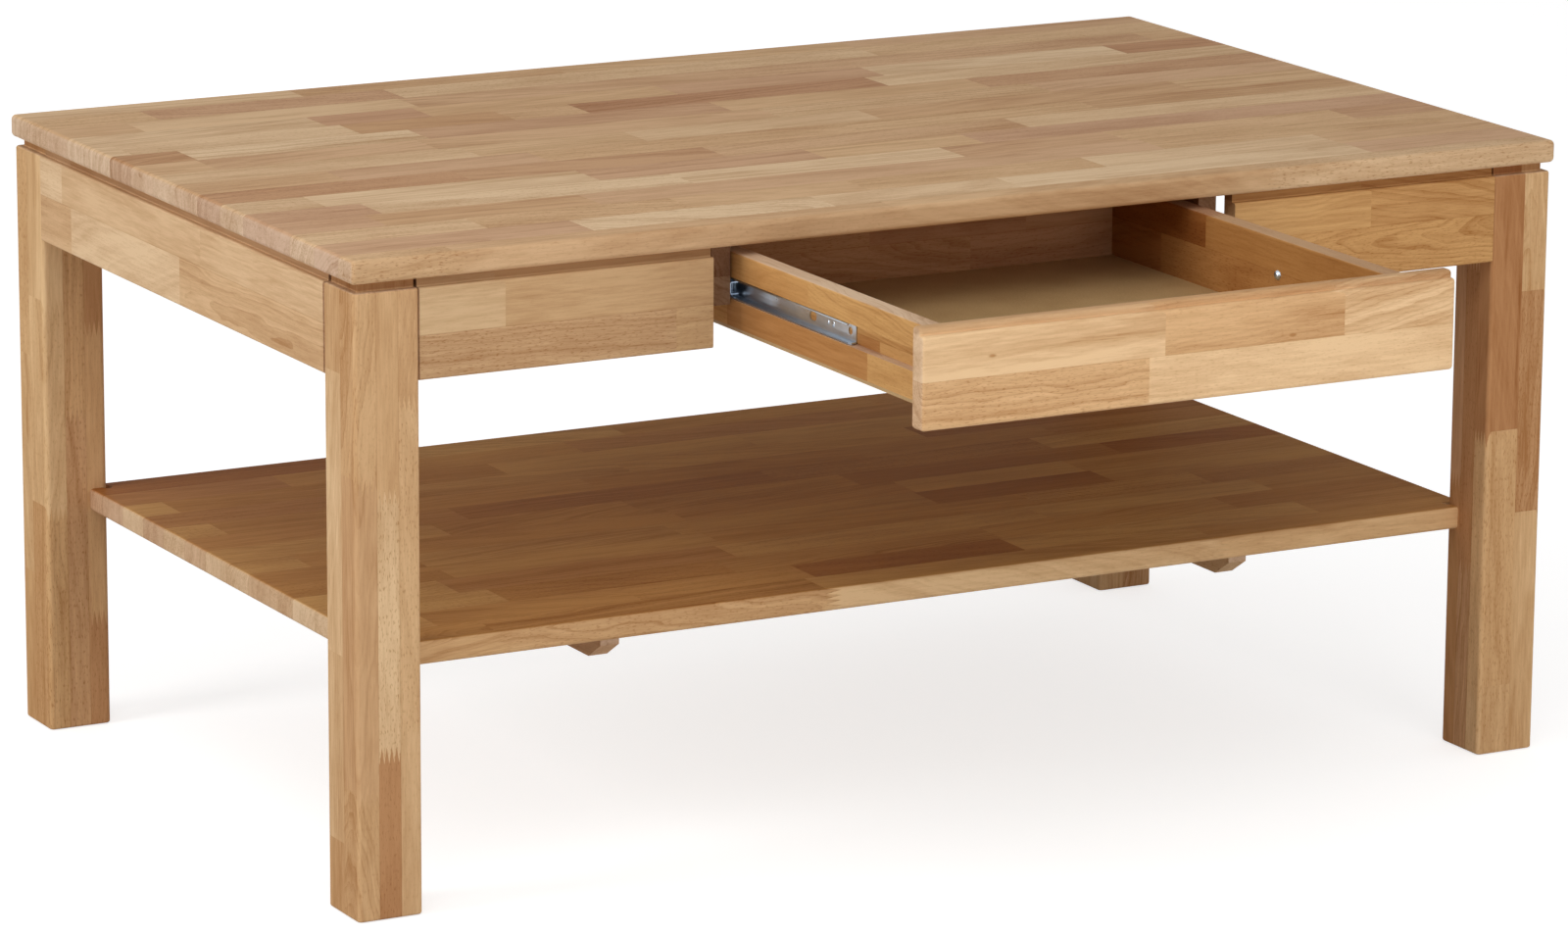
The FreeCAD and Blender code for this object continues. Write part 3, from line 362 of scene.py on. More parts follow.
class Nodes:
    """A node tree being made, with one way to add any node."""

    def __init__(self, tree):
        self.tree = tree

    def add(self, kind, settings=None, sockets=None):
        """A new node: its settings first, then the values or links of its sockets."""
        node = self.tree.nodes.new(kind)
        for name, value in (settings or {}).items():
            setattr(node, name, value)
        self.set(node, sockets or {})
        return node

    def set(self, node, sockets):
        """Gives a node's sockets their values or links."""
        for key, value in sockets.items():
            if isinstance(value, Field):
                self.tree.links.new(value.socket, node.inputs[key])
            else:
                node.inputs[key].default_value = value

    def field(self, node, output=0):
        """One output of a node, ready for arithmetic."""
        return Field(self, node.outputs[output])

    def math(self, operation, *values):
        """A Math node on fields and numbers."""
        return self.field(self.add("ShaderNodeMath", {"operation": operation}, dict(enumerate(values))))

    def place(self, turn=0):
        """The three object coordinates, turned about Z by some degrees."""
        where = self.field(self.add("ShaderNodeTexCoord"), "Object")
        if turn:
            angle = {"Vector": where, "Rotation": (0, 0, math.radians(turn))}
            where = self.field(self.add("ShaderNodeMapping", {}, angle))
        return self.split(where)

    def split(self, vector):
        """The three parts of a vector."""
        node = self.add("ShaderNodeSeparateXYZ", {}, {0: vector})
        return [self.field(node, part) for part in range(3)]

    def join(self, x, y, z):
        """A vector from three parts."""
        return self.field(self.add("ShaderNodeCombineXYZ", {}, {0: x, 1: y, 2: z}))

    def noise(self, vector, detail=2.0, roughness=0.5):
        """Cloudy noise from 0 to 1."""
        sockets = {"Vector": vector, "Scale": 1.0, "Detail": detail, "Roughness": roughness}
        return self.field(self.add("ShaderNodeTexNoise", {}, sockets))

    def chances(self, number):
        """Three random numbers that belong to a number."""
        node = self.add("ShaderNodeTexWhiteNoise", {"noise_dimensions": "1D"}, {"W": number})
        return self.split(self.field(node, "Color"))

    def rise(self, value, low, high):
        """Goes smoothly from 0 at low to 1 at high. High may lie under low."""
        sockets = {0: value, 1: low, 2: high, 3: 0.0, 4: 1.0}
        return self.field(self.add("ShaderNodeMapRange", {"interpolation_type": "SMOOTHSTEP"}, sockets))

    def mix(self, share, first, second):
        """A colour between two others."""
        sockets = {0: share, 6: self.paint(first), 7: self.paint(second)}
        return self.field(self.add("ShaderNodeMix", {"data_type": "RGBA"}, sockets), 2)

    def paint(self, colour):
        """A plain colour with its alpha, or a colour field as it is."""
        return colour if isinstance(colour, Field) else (*colour, 1.0)

    def scaled_colour(self, colour, tint):
        """A colour field multiplied by a tint, used for the wood's own marks and for painted shade."""
        return self.field(self.add("ShaderNodeVectorMath", {"operation": "MULTIPLY"}, {0: colour, 1: tint}))

    def bump(self, height, distance, strength):
        """Relief from a height field."""
        sockets = {"Height": height, "Distance": distance, "Strength": strength}
        return self.field(self.add("ShaderNodeBump", {}, sockets))


class Finish(Nodes):
    """A material being made round one principled shader."""

    def __init__(self, name):
        self.material = bpy.data.materials.new(name)
        self.material.use_nodes = True
        super().__init__(self.material.node_tree)
        self.tree.nodes.clear()
        self.shader = self.add("ShaderNodeBsdfPrincipled")
        self.output = self.add("ShaderNodeOutputMaterial", {}, {"Surface": self.field(self.shader)})


def seen_directly(nodes):
    """One for rays that show a background: from the camera, off a glossy face or through glass."""
    path = nodes.add("ShaderNodeLightPath")
    camera, glossy, through = [nodes.field(path, "Is %s Ray" % kind)
                               for kind in ("Camera", "Glossy", "Transmission")]
    return nodes.math("MAXIMUM", nodes.math("MAXIMUM", camera, glossy), through)


def stave_numbers(finish, board, along, across, deep):
    """A number for each stave of a board, and the distance from its nearest long seam."""
    fingers = bpy.context.scene.coffee_table_wood
    first = board.first_seam * MILLIMETRE
    row_width = board.row_width * MILLIMETRE
    half_pitch = fingers.finger_pitch / 2
    zigzag = finish.math("PINGPONG", deep, half_pitch) * (fingers.finger_length / half_pitch)
    fingered = along + zigzag - fingers.finger_length / 2
    if board.layer:
        layer_width = board.layer * MILLIMETRE
        layer = finish.math("FLOOR", deep / layer_width)
        middle = (layer > 0.5) * (layer < 1.5)
        offset = across - first - middle * (board.seam_step * MILLIMETRE)
        row = layer * 2 + (offset > 0)
        seam = finish.math("MINIMUM", finish.math("ABSOLUTE", offset),
                           finish.math("PINGPONG", deep, layer_width / 2))
    else:
        offset = across - first
        row = finish.math("FLOOR", offset / row_width) + 1
        seam = finish.math("PINGPONG", offset, row_width / 2)
    # Rows follow one another on one line, so that a stave's number counts the joints before it
    stride = 2 * WIDE * MILLIMETRE
    station = fingered + row * stride
    number = row
    for index, joints in enumerate(board.joints):
        for joint in joints:
            number = number + (station > index * stride + joint * MILLIMETRE)
    return number, seam


def knot_field(finish, board, along, across):
    """Dark pin knots, drawn out along the grain, at the board's knot places."""
    total = 0.0
    for knot_along, knot_across in board.knots:
        du = (along - knot_along * MILLIMETRE) * KNOT_STRETCH
        dv = across - knot_across * MILLIMETRE
        distance = finish.math("SQRT", du * du + dv * dv)
        total = finish.rise(distance, *KNOT_BAND) * KNOT_DARK + total
    return total


def stave_colour(finish, board, number, end):
    """The plain colour of each stave, from pale to brown, and greyer on sawn ends."""
    wood = bpy.context.scene.coffee_table_wood
    start, step = board.tones
    palest, darkest = board.shade
    square = (number + start) * (number + start)
    tone = finish.math("FRACT", square * step) * (darkest - palest) + palest
    warm = finish.math("FRACT", square * (step * WARM_STEP))
    honey = finish.mix(finish.rise(tone, *HONEY_TONES), wood.pale, wood.honey)
    rosy = finish.mix(warm, wood.rosy, wood.honey)
    base = finish.mix(finish.rise(tone, *ROSY_TONES), honey, rosy)
    base = finish.mix(finish.rise(tone, *BROWN_TONES), base, wood.brown)
    return finish.mix(end * END_GREY, base, wood.end)


def board_colour(finish, board, base, height, top, facing_up):
    """A board's colour times its tint, which is painted shade on some boards, with its own tint on the
    edges and upward faces painted paler as painted light.
    """
    wood = bpy.context.scene.coffee_table_wood
    colour = finish.scaled_colour(base, board.tint)
    # On the shelf the shade tint stays on the upper face alone: painted shade under the table top, with the
    # edges in their own tint.
    if board.edge_tint:
        face = finish.rise(height, *(top - depth for depth in FACE_BAND))
        colour = finish.mix(face, finish.scaled_colour(base, board.edge_tint), colour)
    # Painted light: upward faces turn paler and greyer, towards the end-grain colour.
    if board.upper_face_lift:
        upper_colour = finish.mix(UPPER_FACE_GREY, base, wood.end)
        colour = finish.mix(finish.rise(facing_up, *SQUARE_ON) * board.upper_face_lift, colour, upper_colour)
    return colour


def beech(name, board):
    """Oiled beech made of staves, each with its own tone and its own cut through the rings."""
    wood = bpy.context.scene.coffee_table_wood
    finish = Finish(name + "_beech")
    low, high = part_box(name)
    axes = [board.grain, board.across, 3 - board.grain - board.across]
    parts = finish.place(board.turn)
    origin = low if not board.turn else Vector((0, 0, 0))
    along, across, deep = [parts[axis] - origin[axis] for axis in axes]
    number, seam = stave_numbers(finish, board, along, across, deep)
    start = board.tones[0]
    pith = finish.chances(number + start)
    figure = finish.chances(number + start + FIGURE_DRAW)

    drift = number * STAVE_DRIFT
    cloud, streak, grain, fibre, dash = [
        finish.noise(finish.join(along * long + drift, across * wide, deep * wide), detail, roughness)
        for long, wide, detail, roughness in WOOD_NOISE.values()]

    pith_across = across + (pith[0] - 0.5) * PITH_SPREAD
    pith_deep = deep + pith[1] * PITH_DEPTH + PITH_NEAREST
    taper = (pith[2] - 0.5) * finish.math("ABSOLUTE", pith[2] - 0.5) * TAPER
    radius = finish.math("SQRT", pith_across * pith_across + pith_deep * pith_deep)
    radius = radius + along * taper + (cloud - 0.5) * RING_SWAY + (streak - 0.5) * RING_RIPPLE
    scale, detail, roughness = BAND_NOISE
    band = finish.noise(finish.join(radius * scale, drift, 0.0), detail, roughness)
    ring = finish.math("FRACT", radius / wood.ring + (band - 0.5) * RING_JITTER)
    late = ring ** LATE_SHAPE * finish.rise(figure[0], *LATE_STAVES)

    facing = finish.split(finish.field(finish.add("ShaderNodeNewGeometry"), "Normal"))
    end = finish.rise(finish.math("ABSOLUTE", facing[board.grain]), *SQUARE_ON)
    base = stave_colour(finish, board, number, end)
    base = board_colour(finish, board, base, parts[Z], high[Z], facing[Z])
    heart = finish.rise(streak, *HEART_STREAKS) * finish.rise(figure[1], *HEART_STAVES)
    fleck = finish.rise(dash, *FLECK_DASHES) * (FLECK_LEAST + figure[2] * figure[2] * (1 - FLECK_LEAST))
    edge = finish.rise(seam, *SEAM_BAND)
    flame = (band - 0.5) * (figure[0] * FLAME_STAVES + FLAME_LEAST)
    shifts = flame + (streak - 0.5) * STREAK_DARK - (grain - 0.5) * GRAIN_DARK - (cloud - 0.5) * CLOUD_DARK
    lines = late * LATE_DARK + heart * HEART_DARK + fleck * FLECK_DARK + edge * SEAM_DARK
    lines = lines + knot_field(finish, board, along, across)
    dark = finish.math("MAXIMUM", shifts + lines - (fibre - 0.5) * FIBRE_DARK + ALL_DARK, 0.0)
    colour = finish.mix(finish.math("MINIMUM", dark, 1.0), base, finish.scaled_colour(base, DEEP_STAIN))
    # Painted shade: above the leg's shoulder, in the step under the table top's overhang, the colour is
    # darkened.
    if board.recess:
        inside = finish.rise(parts[Z], *(RECESS_FLOOR + height for height in RECESS_SHADE_BAND))
        colour = finish.mix(inside * board.recess, colour, finish.scaled_colour(colour, RECESS_SHADE_TINT))

    relief = fibre * FIBRE_LIFT + grain * GRAIN_LIFT
    relief = relief - fleck * FLECK_LIFT - late * LATE_LIFT - edge * SEAM_LIFT
    finish.set(finish.shader, {
        "Base Color": colour,
        "Roughness": wood.roughness - ROUGH_SHIFT + fibre * FIBRE_ROUGH + cloud * CLOUD_ROUGH,
        "Normal": finish.bump(relief, *WOOD_BUMP),
        "Specular IOR Level": OIL_SHEEN,
    })
    return finish.material


def hardboard():
    """Smooth tan hardboard with fine mottling."""
    metal = bpy.context.scene.coffee_table_metal
    finish = Finish("tan_hardboard")
    parts = finish.place()
    fine = finish.noise(finish.join(*(part * HARDBOARD_FINE for part in parts)), 3.0)
    broad = finish.noise(finish.join(*(part * HARDBOARD_BROAD for part in parts)), 2.0)
    mottle = fine * HARDBOARD_FINE_SHARE + broad * (1 - HARDBOARD_FINE_SHARE)
    base = tuple(metal.board)
    shade = tuple(part * share for part, share in zip(base, HARDBOARD_SHADE))
    finish.set(finish.shader, {
        "Base Color": finish.mix(finish.rise(mottle, *HARDBOARD_DARK), base, shade),
        "Roughness": HARDBOARD_ROUGH + fine * HARDBOARD_MOTTLE,
        "Normal": finish.bump(fine, *HARDBOARD_BUMP),
    })
    return finish.material


def metal_finish(name, colour, roughness, scratch):
    """Plated steel with faint drawing lines along Y and cloudy plating."""
    finish = Finish(name)
    x, y, z = finish.place()
    lines, cloud = [finish.noise(finish.join(x * wide, y * long, z * wide), detail)
                    for wide, long, detail in (DRAWN_LINES, PLATING)]
    base = tuple(colour)
    shade = tuple(part * PLATING_SHADE for part in base)
    finish.set(finish.shader, {
        "Base Color": finish.mix(finish.rise(cloud, *PLATING_DARK), base, shade),
        "Metallic": 1.0,
        "Roughness": roughness + cloud * PLATING_ROUGH + lines * scratch,
        "Normal": finish.bump(lines, *METAL_BUMP),
    })
    return finish.material


# Tools for operators

def cover(node, material):
    """Gives a CAD node one material."""
    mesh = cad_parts[node].data
    mesh.materials.clear()
    mesh.materials.append(material)


def cover_boards(*names):
    """Gives boards their own beech."""
    for name in names:
        cover(name, beech(name, BOARDS[name]))


def link(obj):
    """Puts a new object in the scene."""
    bpy.context.scene.collection.objects.link(obj)
    return obj


def lamp(name, power, size, place, target):
    """A square area lamp that looks at a point."""
    data = bpy.data.lights.new(name, "AREA")
    data.energy = power
    data.size = size
    obj = link(bpy.data.objects.new(name, data))
    obj.visible_camera = False
    obj.location = place
    obj.rotation_euler = (Vector(target) - Vector(place)).to_track_quat("-Z", "Y").to_euler()


# Where the fasteners of the CAD sit

DIRECTIONS = [Vector(way).normalized()
              for way in ((1, 0, 0), (0, 1, 0), (0, 0, 1), (1, 1, 0), (1, -1, 0))]
HEAD_SHARE = 0.97            # points this near to the largest radius belong to the head
SHANK_SPAN = (0.3, 0.7)      # the shank's radius is taken between these shares of the length


@dataclass
class Seat:
    """A fastener's place, with the origin on its outer end and Z pointing out, and its sizes."""
    place: Matrix
    length: float
    head: float
    shank: float
    height: float


def solids_of(node):
    """The separate solids of a CAD node, each a list of points."""
    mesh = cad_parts[node].data
    spots = [tuple(round(part, 6) for part in vertex.co) for vertex in mesh.vertices]
    owner = {spot: spot for spot in spots}

    def root(spot):
        while owner[spot] != spot:
            owner[spot] = owner[owner[spot]]
            spot = owner[spot]
        return spot

    for face in mesh.polygons:
        corners = [spots[index] for index in face.vertices]
        for corner in corners[1:]:
            owner[root(corner)] = root(corners[0])
    groups = {}
    for spot in owner:
        groups.setdefault(root(spot), []).append(Vector(spot))
    return list(groups.values())


def reach(points, way):
    """The lowest and the highest that points come to along a direction."""
    heights = [point.dot(way) for point in points]
    return min(heights), max(heights)


def sides_of(axis):
    """Two directions square to an axis."""
    side = axis.orthogonal().normalized()
    return side, axis.cross(side)


def girth(points, axis):
    """How much room points take square to an axis."""
    return sum(high - low for low, high in (reach(points, side) for side in sides_of(axis)))


def seats(node):
    """The seats of a node's fasteners. A bolt without a head points to the middle of the table."""
    top_low, top_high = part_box("table_top")
    table_middle = (Vector(top_low) + Vector(top_high)) / 2
    found = []
    for points in solids_of(node):
        axis = min(DIRECTIONS, key=lambda way: girth(points, way))
        middle = sum((side * (sum(reach(points, side)) / 2) for side in sides_of(axis)), Vector())
        radii = [(point - axis * point.dot(axis) - middle).length for point in points]
        head = max(radii)
        low, high = reach(points, axis)
        length = high - low
        wide = [point.dot(axis) for point, radius in zip(points, radii) if radius > HEAD_SHARE * head]
        lean = min(wide) + max(wide) - low - high
        if abs(lean) < MILLIMETRE:
            lean = (table_middle - middle - axis * (low + high) / 2).dot(axis)
        out = axis if lean > 0 else -axis
        end = reach(points, out)[1]
        side = sides_of(out)[0]
        place = Matrix((side, out.cross(side), out)).transposed().to_4x4()
        place.translation = middle + out * end
        depths = [end - point.dot(out) for point in points]
        far = [radius for radius, depth in zip(radii, depths)
               if SHANK_SPAN[0] * length < depth < SHANK_SPAN[1] * length]
        shank = max(far) if far else sorted(radii)[len(radii) // 2]
        height = max(depth for radius, depth in zip(radii, depths) if radius > HEAD_SHARE * head)
        found.append(Seat(place, length, head, shank, height))
    return found


# Modelling tools

ROUND_STEPS, FINE_STEPS, NUT_STEPS, DRILL_STEPS = 20, 24, 48, 32
WELD = 0.002 * MILLIMETRE
SHARP_ANGLE = math.radians(35)


def pen(name):
    """A new object in edit mode that holds one selected point at the origin, to draw with."""
    bpy.ops.object.select_all(action="DESELECT")
    bpy.ops.mesh.primitive_plane_add(size=MILLIMETRE)
    piece = bpy.context.active_object
    piece.name = name
    bpy.ops.object.mode_set(mode="EDIT")
    bpy.ops.mesh.select_mode(type="VERT")
    bpy.ops.mesh.select_all(action="SELECT")
    bpy.ops.mesh.merge(type="CENTER")
    return piece


def draw(points):
    """Moves the pen's point to the first place and extrudes it through the others."""
    here = Vector(points[0])
    bpy.ops.transform.translate(value=here)
    for point in points[1:]:
        bpy.ops.mesh.extrude_region_move(TRANSFORM_OT_translate={"value": Vector(point) - here})
        here = Vector(point)


def turned(name, profile, steps=ROUND_STEPS):
    """A solid turned about Z from radius and height pairs that start and end on the axis."""
    piece = pen(name)
    draw([(radius, 0, height) for radius, height in profile])
    bpy.ops.mesh.select_all(action="SELECT")
    bpy.ops.mesh.spin(steps=steps, angle=2 * math.pi, center=(0, 0, 0), axis=(0, 0, 1))
    bpy.ops.mesh.select_all(action="SELECT")
    bpy.ops.mesh.remove_doubles(threshold=WELD)
    bpy.ops.mesh.normals_make_consistent(inside=False)
    bpy.ops.object.mode_set(mode="OBJECT")
    return piece


def pick_points(piece, test):
    """Goes to edit mode with only those points selected that pass a test."""
    bpy.context.view_layer.objects.active = piece
    bpy.ops.object.mode_set(mode="EDIT")
    bpy.ops.mesh.select_mode(type="VERT")
    bpy.ops.mesh.select_all(action="DESELECT")
    bpy.ops.object.mode_set(mode="OBJECT")
    for vertex in piece.data.vertices:
        vertex.select = bool(test(vertex.co))
    bpy.ops.object.mode_set(mode="EDIT")


def apply_modifier(piece, kind, settings):
    """Puts a modifier on a piece and applies it."""
    modifier = piece.modifiers.new(kind.lower(), kind)
    for name, value in settings.items():
        setattr(modifier, name, value)
    bpy.context.view_layer.objects.active = piece
    bpy.ops.object.modifier_apply(modifier=modifier.name)


def cut(piece, cutter, operation="DIFFERENCE"):
    """Cuts a piece with another object, which goes."""
    apply_modifier(piece, "BOOLEAN", {"operation": operation, "object": cutter, "solver": "EXACT"})
    bpy.data.objects.remove(cutter)


def joined(name, pieces):
    """Several objects made one."""
    bpy.ops.object.select_all(action="DESELECT")
    for piece in pieces:
        piece.select_set(True)
    bpy.context.view_layer.objects.active = pieces[0]
    if len(pieces) > 1:
        bpy.ops.object.join()
    pieces[0].name = name
    return pieces[0]


def copies(model, places):
    """Copies of a model, each with its own mesh. The model goes."""
    made = []
    for place in places:
        copy = link(model.copy())
        copy.data = model.data.copy()
        copy.data.transform(place)
        made.append(copy)
    bpy.data.objects.remove(model)
    return made


def finish_steel(piece, body, *nodes):
    """Plates a finished piece, puts it on its body and lets it stand for its CAD nodes."""
    bpy.ops.object.select_all(action="DESELECT")
    piece.select_set(True)
    bpy.context.view_layer.objects.active = piece
    bpy.ops.object.shade_smooth_by_angle(angle=SHARP_ANGLE)
    piece.data.materials.clear()
    piece.data.materials.append(bpy.data.materials["zinc_plate"])
    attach(piece, body)
    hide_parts(*nodes)


# Outer slide channels: their sheet, half of its middle line as distance from the web and height, details

SHEET = 1.0 * MILLIMETRE
TINY = 0.01 * MILLIMETRE
RACEWAY = [(out * MILLIMETRE, up * MILLIMETRE) for out, up in (
    (0, 6.6), (0.25, 7.2), (0.9, 7.55), (2.1, 7.68), (3.5, 7.7), (4.7, 7.7), (5.9, 7.65), (6.8, 7.4),
    (7.4, 6.9), (7.6, 6.5))]
HOLE_DIAMETER, HOLE_INSET = 6.0 * MILLIMETRE, 8.5 * MILLIMETRE
SLOT_LENGTH, SLOT_HEIGHT, SLOT_INSET = 10.5 * MILLIMETRE, 6.8 * MILLIMETRE, 65.0 * MILLIMETRE
BOLT_INSET, BOLT_END = 34.5 * MILLIMETRE, 2.3 * MILLIMETRE
DIMPLE_INSET, DIMPLE = 42.0 * MILLIMETRE, 1.7 * MILLIMETRE
END_TAB = 2.0 * MILLIMETRE
FLANGE_BOW = 0.11 * MILLIMETRE   # how far the flange's middle part rises from its lowest line
STUD_RISE = 0.4 * MILLIMETRE
STUD_BOW = ((0, 1), (0.5, 0.9), (0.85, 0.5), (1, 0), (1, -1), (0, -1))


# Screws, bolts and nuts

FLAT_SCREWS = {"corner_block_screws": "table", "rail_screws": "table", "batten_screws": "table",
               "drawer_back_screws": "drawer", "drawer_member_screws": "drawer"}
PAN_SCREWS = {"cabinet_member_screws": "table", "top_bracket_screws": "table",
              "drawer_bottom_screws": "drawer"}

# Shares of a wood screw's head, shank or length
HEAD_RIM = 0.06
PAN_BOW = ((0.0, 0.0), (0.45, 0.05), (0.75, 0.22), (0.93, 0.5), (1.0, 0.85), (0.97, 1.0))
PLAIN_NECK = 0.2
SCREW_PITCH, SCREW_DEPTH = 0.9, 0.24
POINT_LENGTH, POINT_RADIUS = 2, 0.7
RECESS_BLADE, RECESS_TAPER = (1.15, 0.26, 1.1), (0.55, 0.7, 1)

# Shares of a bolt's or nut's radius, length or width, and threads by pitch and depth
DOME_ANGLES = range(0, 91, 15)
PEEN_DEPTH, PEEN_RADIUS = 0.15, 0.85
HANGER_TIP, HANGER_CHAMFER, HANGER_LEAD, HANGER_POINT = 0.8, 0.2, 0.25, 1.5
NUT_THREAD_END, LEG_THREAD_START = 0.42, 0.5
NUT_THREAD = (1.25 * MILLIMETRE, 0.7 * MILLIMETRE)
LEG_THREAD = (2.6 * MILLIMETRE, 1.0 * MILLIMETRE)
NUT_RIM, NUT_CORNER, NUT_LEAD = 0.47, 0.59, 0.08
HALF_HEXAGON = math.radians(30)


def flat_head(seat):
    """The outline of a countersunk head: a thin rim, then a cone down to the shank."""
    rim = HEAD_RIM * seat.head
    return [(0, 0), (seat.head - rim, 0), (seat.head, -rim), (seat.shank, seat.shank - seat.head - rim)]


def pan_head(seat):
    """The outline of a low domed head."""
    outline = [(seat.head * wide, -seat.height * deep) for wide, deep in PAN_BOW]
    return outline + [(seat.shank, -seat.height)]


def ridges(radius, top, bottom, pitch, depth):
    """The outline of a thread from a height down to another."""
    count = max(1, int((top - bottom) / pitch))
    step = (top - bottom) / count
    outline = []
    for index in range(count):
        outline += [(radius, top - index * step), (radius - depth, top - (index + 0.5) * step)]
    return outline


def wood_screw(name, seat, head):
    """A screw with a head, a plain neck, a thread, a point and a crossed recess."""
    outline = head(seat)
    top = outline[-1][1] - PLAIN_NECK * (seat.length - seat.height)
    bottom = POINT_LENGTH * seat.shank - seat.length
    outline += ridges(seat.shank, top, bottom, SCREW_PITCH * seat.shank, SCREW_DEPTH * seat.shank)
    outline += [(POINT_RADIUS * seat.shank, bottom), (0, -seat.length)]
    piece = turned(name, outline)
    for turn in (0, math.pi / 2):
        bpy.ops.object.select_all(action="DESELECT")
        bpy.ops.mesh.primitive_cube_add(size=1, rotation=(0, 0, turn),
                                        scale=[share * seat.head for share in RECESS_BLADE])
        blade = bpy.context.active_object
        pick_points(blade, lambda point: point.z < 0)
        bpy.ops.transform.resize(value=RECESS_TAPER)
        bpy.ops.object.mode_set(mode="OBJECT")
        cut(piece, blade)
    return piece


def domed_bolt(name, seat):
    """A bolt with a round head and an end that is peened over."""
    bow = [(math.sin(math.radians(angle)), math.cos(math.radians(angle))) for angle in DOME_ANGLES]
    outline = [(seat.head * wide, seat.height * (high - 1)) for wide, high in bow]
    end, neck = -seat.length, seat.shank
    outline += [(neck, -seat.height), (neck, end + PEEN_DEPTH * neck), (PEEN_RADIUS * neck, end), (0, end)]
    return turned(name, outline, FINE_STEPS)


def hanger_bolt(name, seat):
    """A headless bolt with a fine thread for its nut and a coarse one for the leg."""
    radius, length = seat.head, seat.length
    nut_end, leg_start = -NUT_THREAD_END * length, -LEG_THREAD_START * length
    point = HANGER_POINT * radius - length
    outline = [(0, 0), (HANGER_TIP * radius, 0), (radius, -HANGER_CHAMFER * radius)]
    outline += ridges(radius, -HANGER_LEAD * radius, nut_end, *NUT_THREAD)
    outline += [(radius, nut_end), (radius, leg_start)]
    outline += ridges(radius, leg_start, point, *LEG_THREAD)
    return turned(name, outline + [(HANGER_TIP * radius, point), (0, -length)], FINE_STEPS)


def hexagon_nut(name, width, height, bore):
    """A nut with rounded corners on both faces, standing on its lower face."""
    bpy.ops.object.select_all(action="DESELECT")
    bpy.ops.mesh.primitive_cylinder_add(vertices=6, radius=width / math.sqrt(3), depth=height,
                                        location=(0, 0, height / 2))
    bpy.ops.object.transform_apply()
    nut = bpy.context.active_object
    nut.name = name
    rim, corner = NUT_RIM * width, NUT_CORNER * width
    fall = (corner - rim) * math.tan(HALF_HEXAGON)
    outline = [(0, 0), (rim, 0), (corner, fall), (corner, height - fall), (rim, height), (0, height)]
    cut(nut, turned("nut_chamfer", outline, NUT_STEPS), "INTERSECT")
    lead = NUT_LEAD * bore
    outline = [(0, -lead), (bore + 2 * lead, -lead), (bore, lead), (bore, height - lead),
               (bore + 2 * lead, height + lead), (0, height + lead)]
    cut(nut, turned("nut_bore", outline, FINE_STEPS))
    return nut


# Operators

class COFFEE_OT_top(bpy.types.Operator):
    """Finish the table top and the low shelf"""
    bl_idname = "coffee_table.top"
    bl_label = "Top and shelf"

    def execute(self, context):
        cover_boards("table_top", "shelf")
        return {"FINISHED"}


class COFFEE_OT_frame(bpy.types.Operator):
    """Finish the legs, aprons and the wood that holds them together"""
    bl_idname = "coffee_table.frame"
    bl_label = "Legs and aprons"

    def execute(self, context):
        cover_boards(*(name for name in BOARDS if name.startswith(("leg_", "corner_block_"))))
        cover_boards("front_apron_left", "front_apron_right", "side_apron_left", "side_apron_right",
                     "back_apron", "apron_dowels", "shelf_dowels", "drawer_rail_left", "drawer_rail_right",
                     "shelf_batten_left", "shelf_batten_right")
        return {"FINISHED"}


class COFFEE_OT_drawer(bpy.types.Operator):
    """Finish the drawer front, its box and its thin bottom"""
    bl_idname = "coffee_table.drawer"
    bl_label = "Drawer"

    def execute(self, context):
        cover_boards("drawer_front", "drawer_side_left", "drawer_side_right", "drawer_back",
                     "drawer_front_dowels")
        cover("drawer_bottom", hardboard())
        return {"FINISHED"}


class COFFEE_OT_metal(bpy.types.Operator):
    """Finish the slides, screws, bolts and brackets"""
    bl_idname = "coffee_table.metal"
    bl_label = "Metal"

    def execute(self, context):
        metal = context.scene.coffee_table_metal
        zinc = metal_finish("zinc_plate", metal.zinc, *ZINC_ROUGH)
        nickel = metal_finish("bearing_steel", metal.nickel, *BALL_ROUGH)
        for name in STEEL_NODES:
            cover(name, zinc)
        for name in BALL_NODES:
            cover(name, nickel)
        return {"FINISHED"}


class COFFEE_OT_fasteners(bpy.types.Operator):
    """Turn the screws, bolts and nuts, with their threads and recesses"""
    bl_idname = "coffee_table.fasteners"
    bl_label = "Screws, bolts and nuts"

    def execute(self, context):
        for nodes, head in ((FLAT_SCREWS, flat_head), (PAN_SCREWS, pan_head)):
            for node, body in nodes.items():
                places = seats(node)
                self.place(wood_screw(node + "_crossed", places[0], head), places, body, node)
        bolts = seats("drawer_member_bolts")
        self.place(domed_bolt("drawer_member_bolts_domed", bolts[0]), bolts, "drawer",
                   "drawer_member_bolts")
        hangers = seats("hanger_bolts")
        self.place(hanger_bolt("hanger_bolts_threaded", hangers[0]), hangers, "table", "hanger_bolts")
        self.place_nuts(hangers)
        return {"FINISHED"}

    def place(self, model, places, body, node):
        """Copies a model to its seats and makes one piece of the copies."""
        name = model.name
        finish_steel(joined(name, copies(model, [seat.place for seat in places])), body, node)

    def place_nuts(self, hangers):
        """One nut on each hanger bolt, where the CAD has it."""
        places = []
        for points in solids_of("corner_nuts"):
            centre = sum(points, Vector()) / len(points)
            seat = min(hangers, key=lambda bolt: (bolt.place.translation - centre).length)
            out = seat.place.col[2].xyz
            low, high = reach(points, out)
            thickness = high - low
            place = seat.place.copy()
            place.translation += out * (low - place.translation.dot(out))
            places.append(place)
        bottom, top = (part[Z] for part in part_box("corner_nuts"))
        width = (top - bottom) * math.cos(HALF_HEXAGON)
        nut = hexagon_nut("corner_nuts_chamfered", width, thickness, hangers[0].head)
        finish_steel(joined("corner_nuts_chamfered", copies(nut, places)), "table", "corner_nuts")


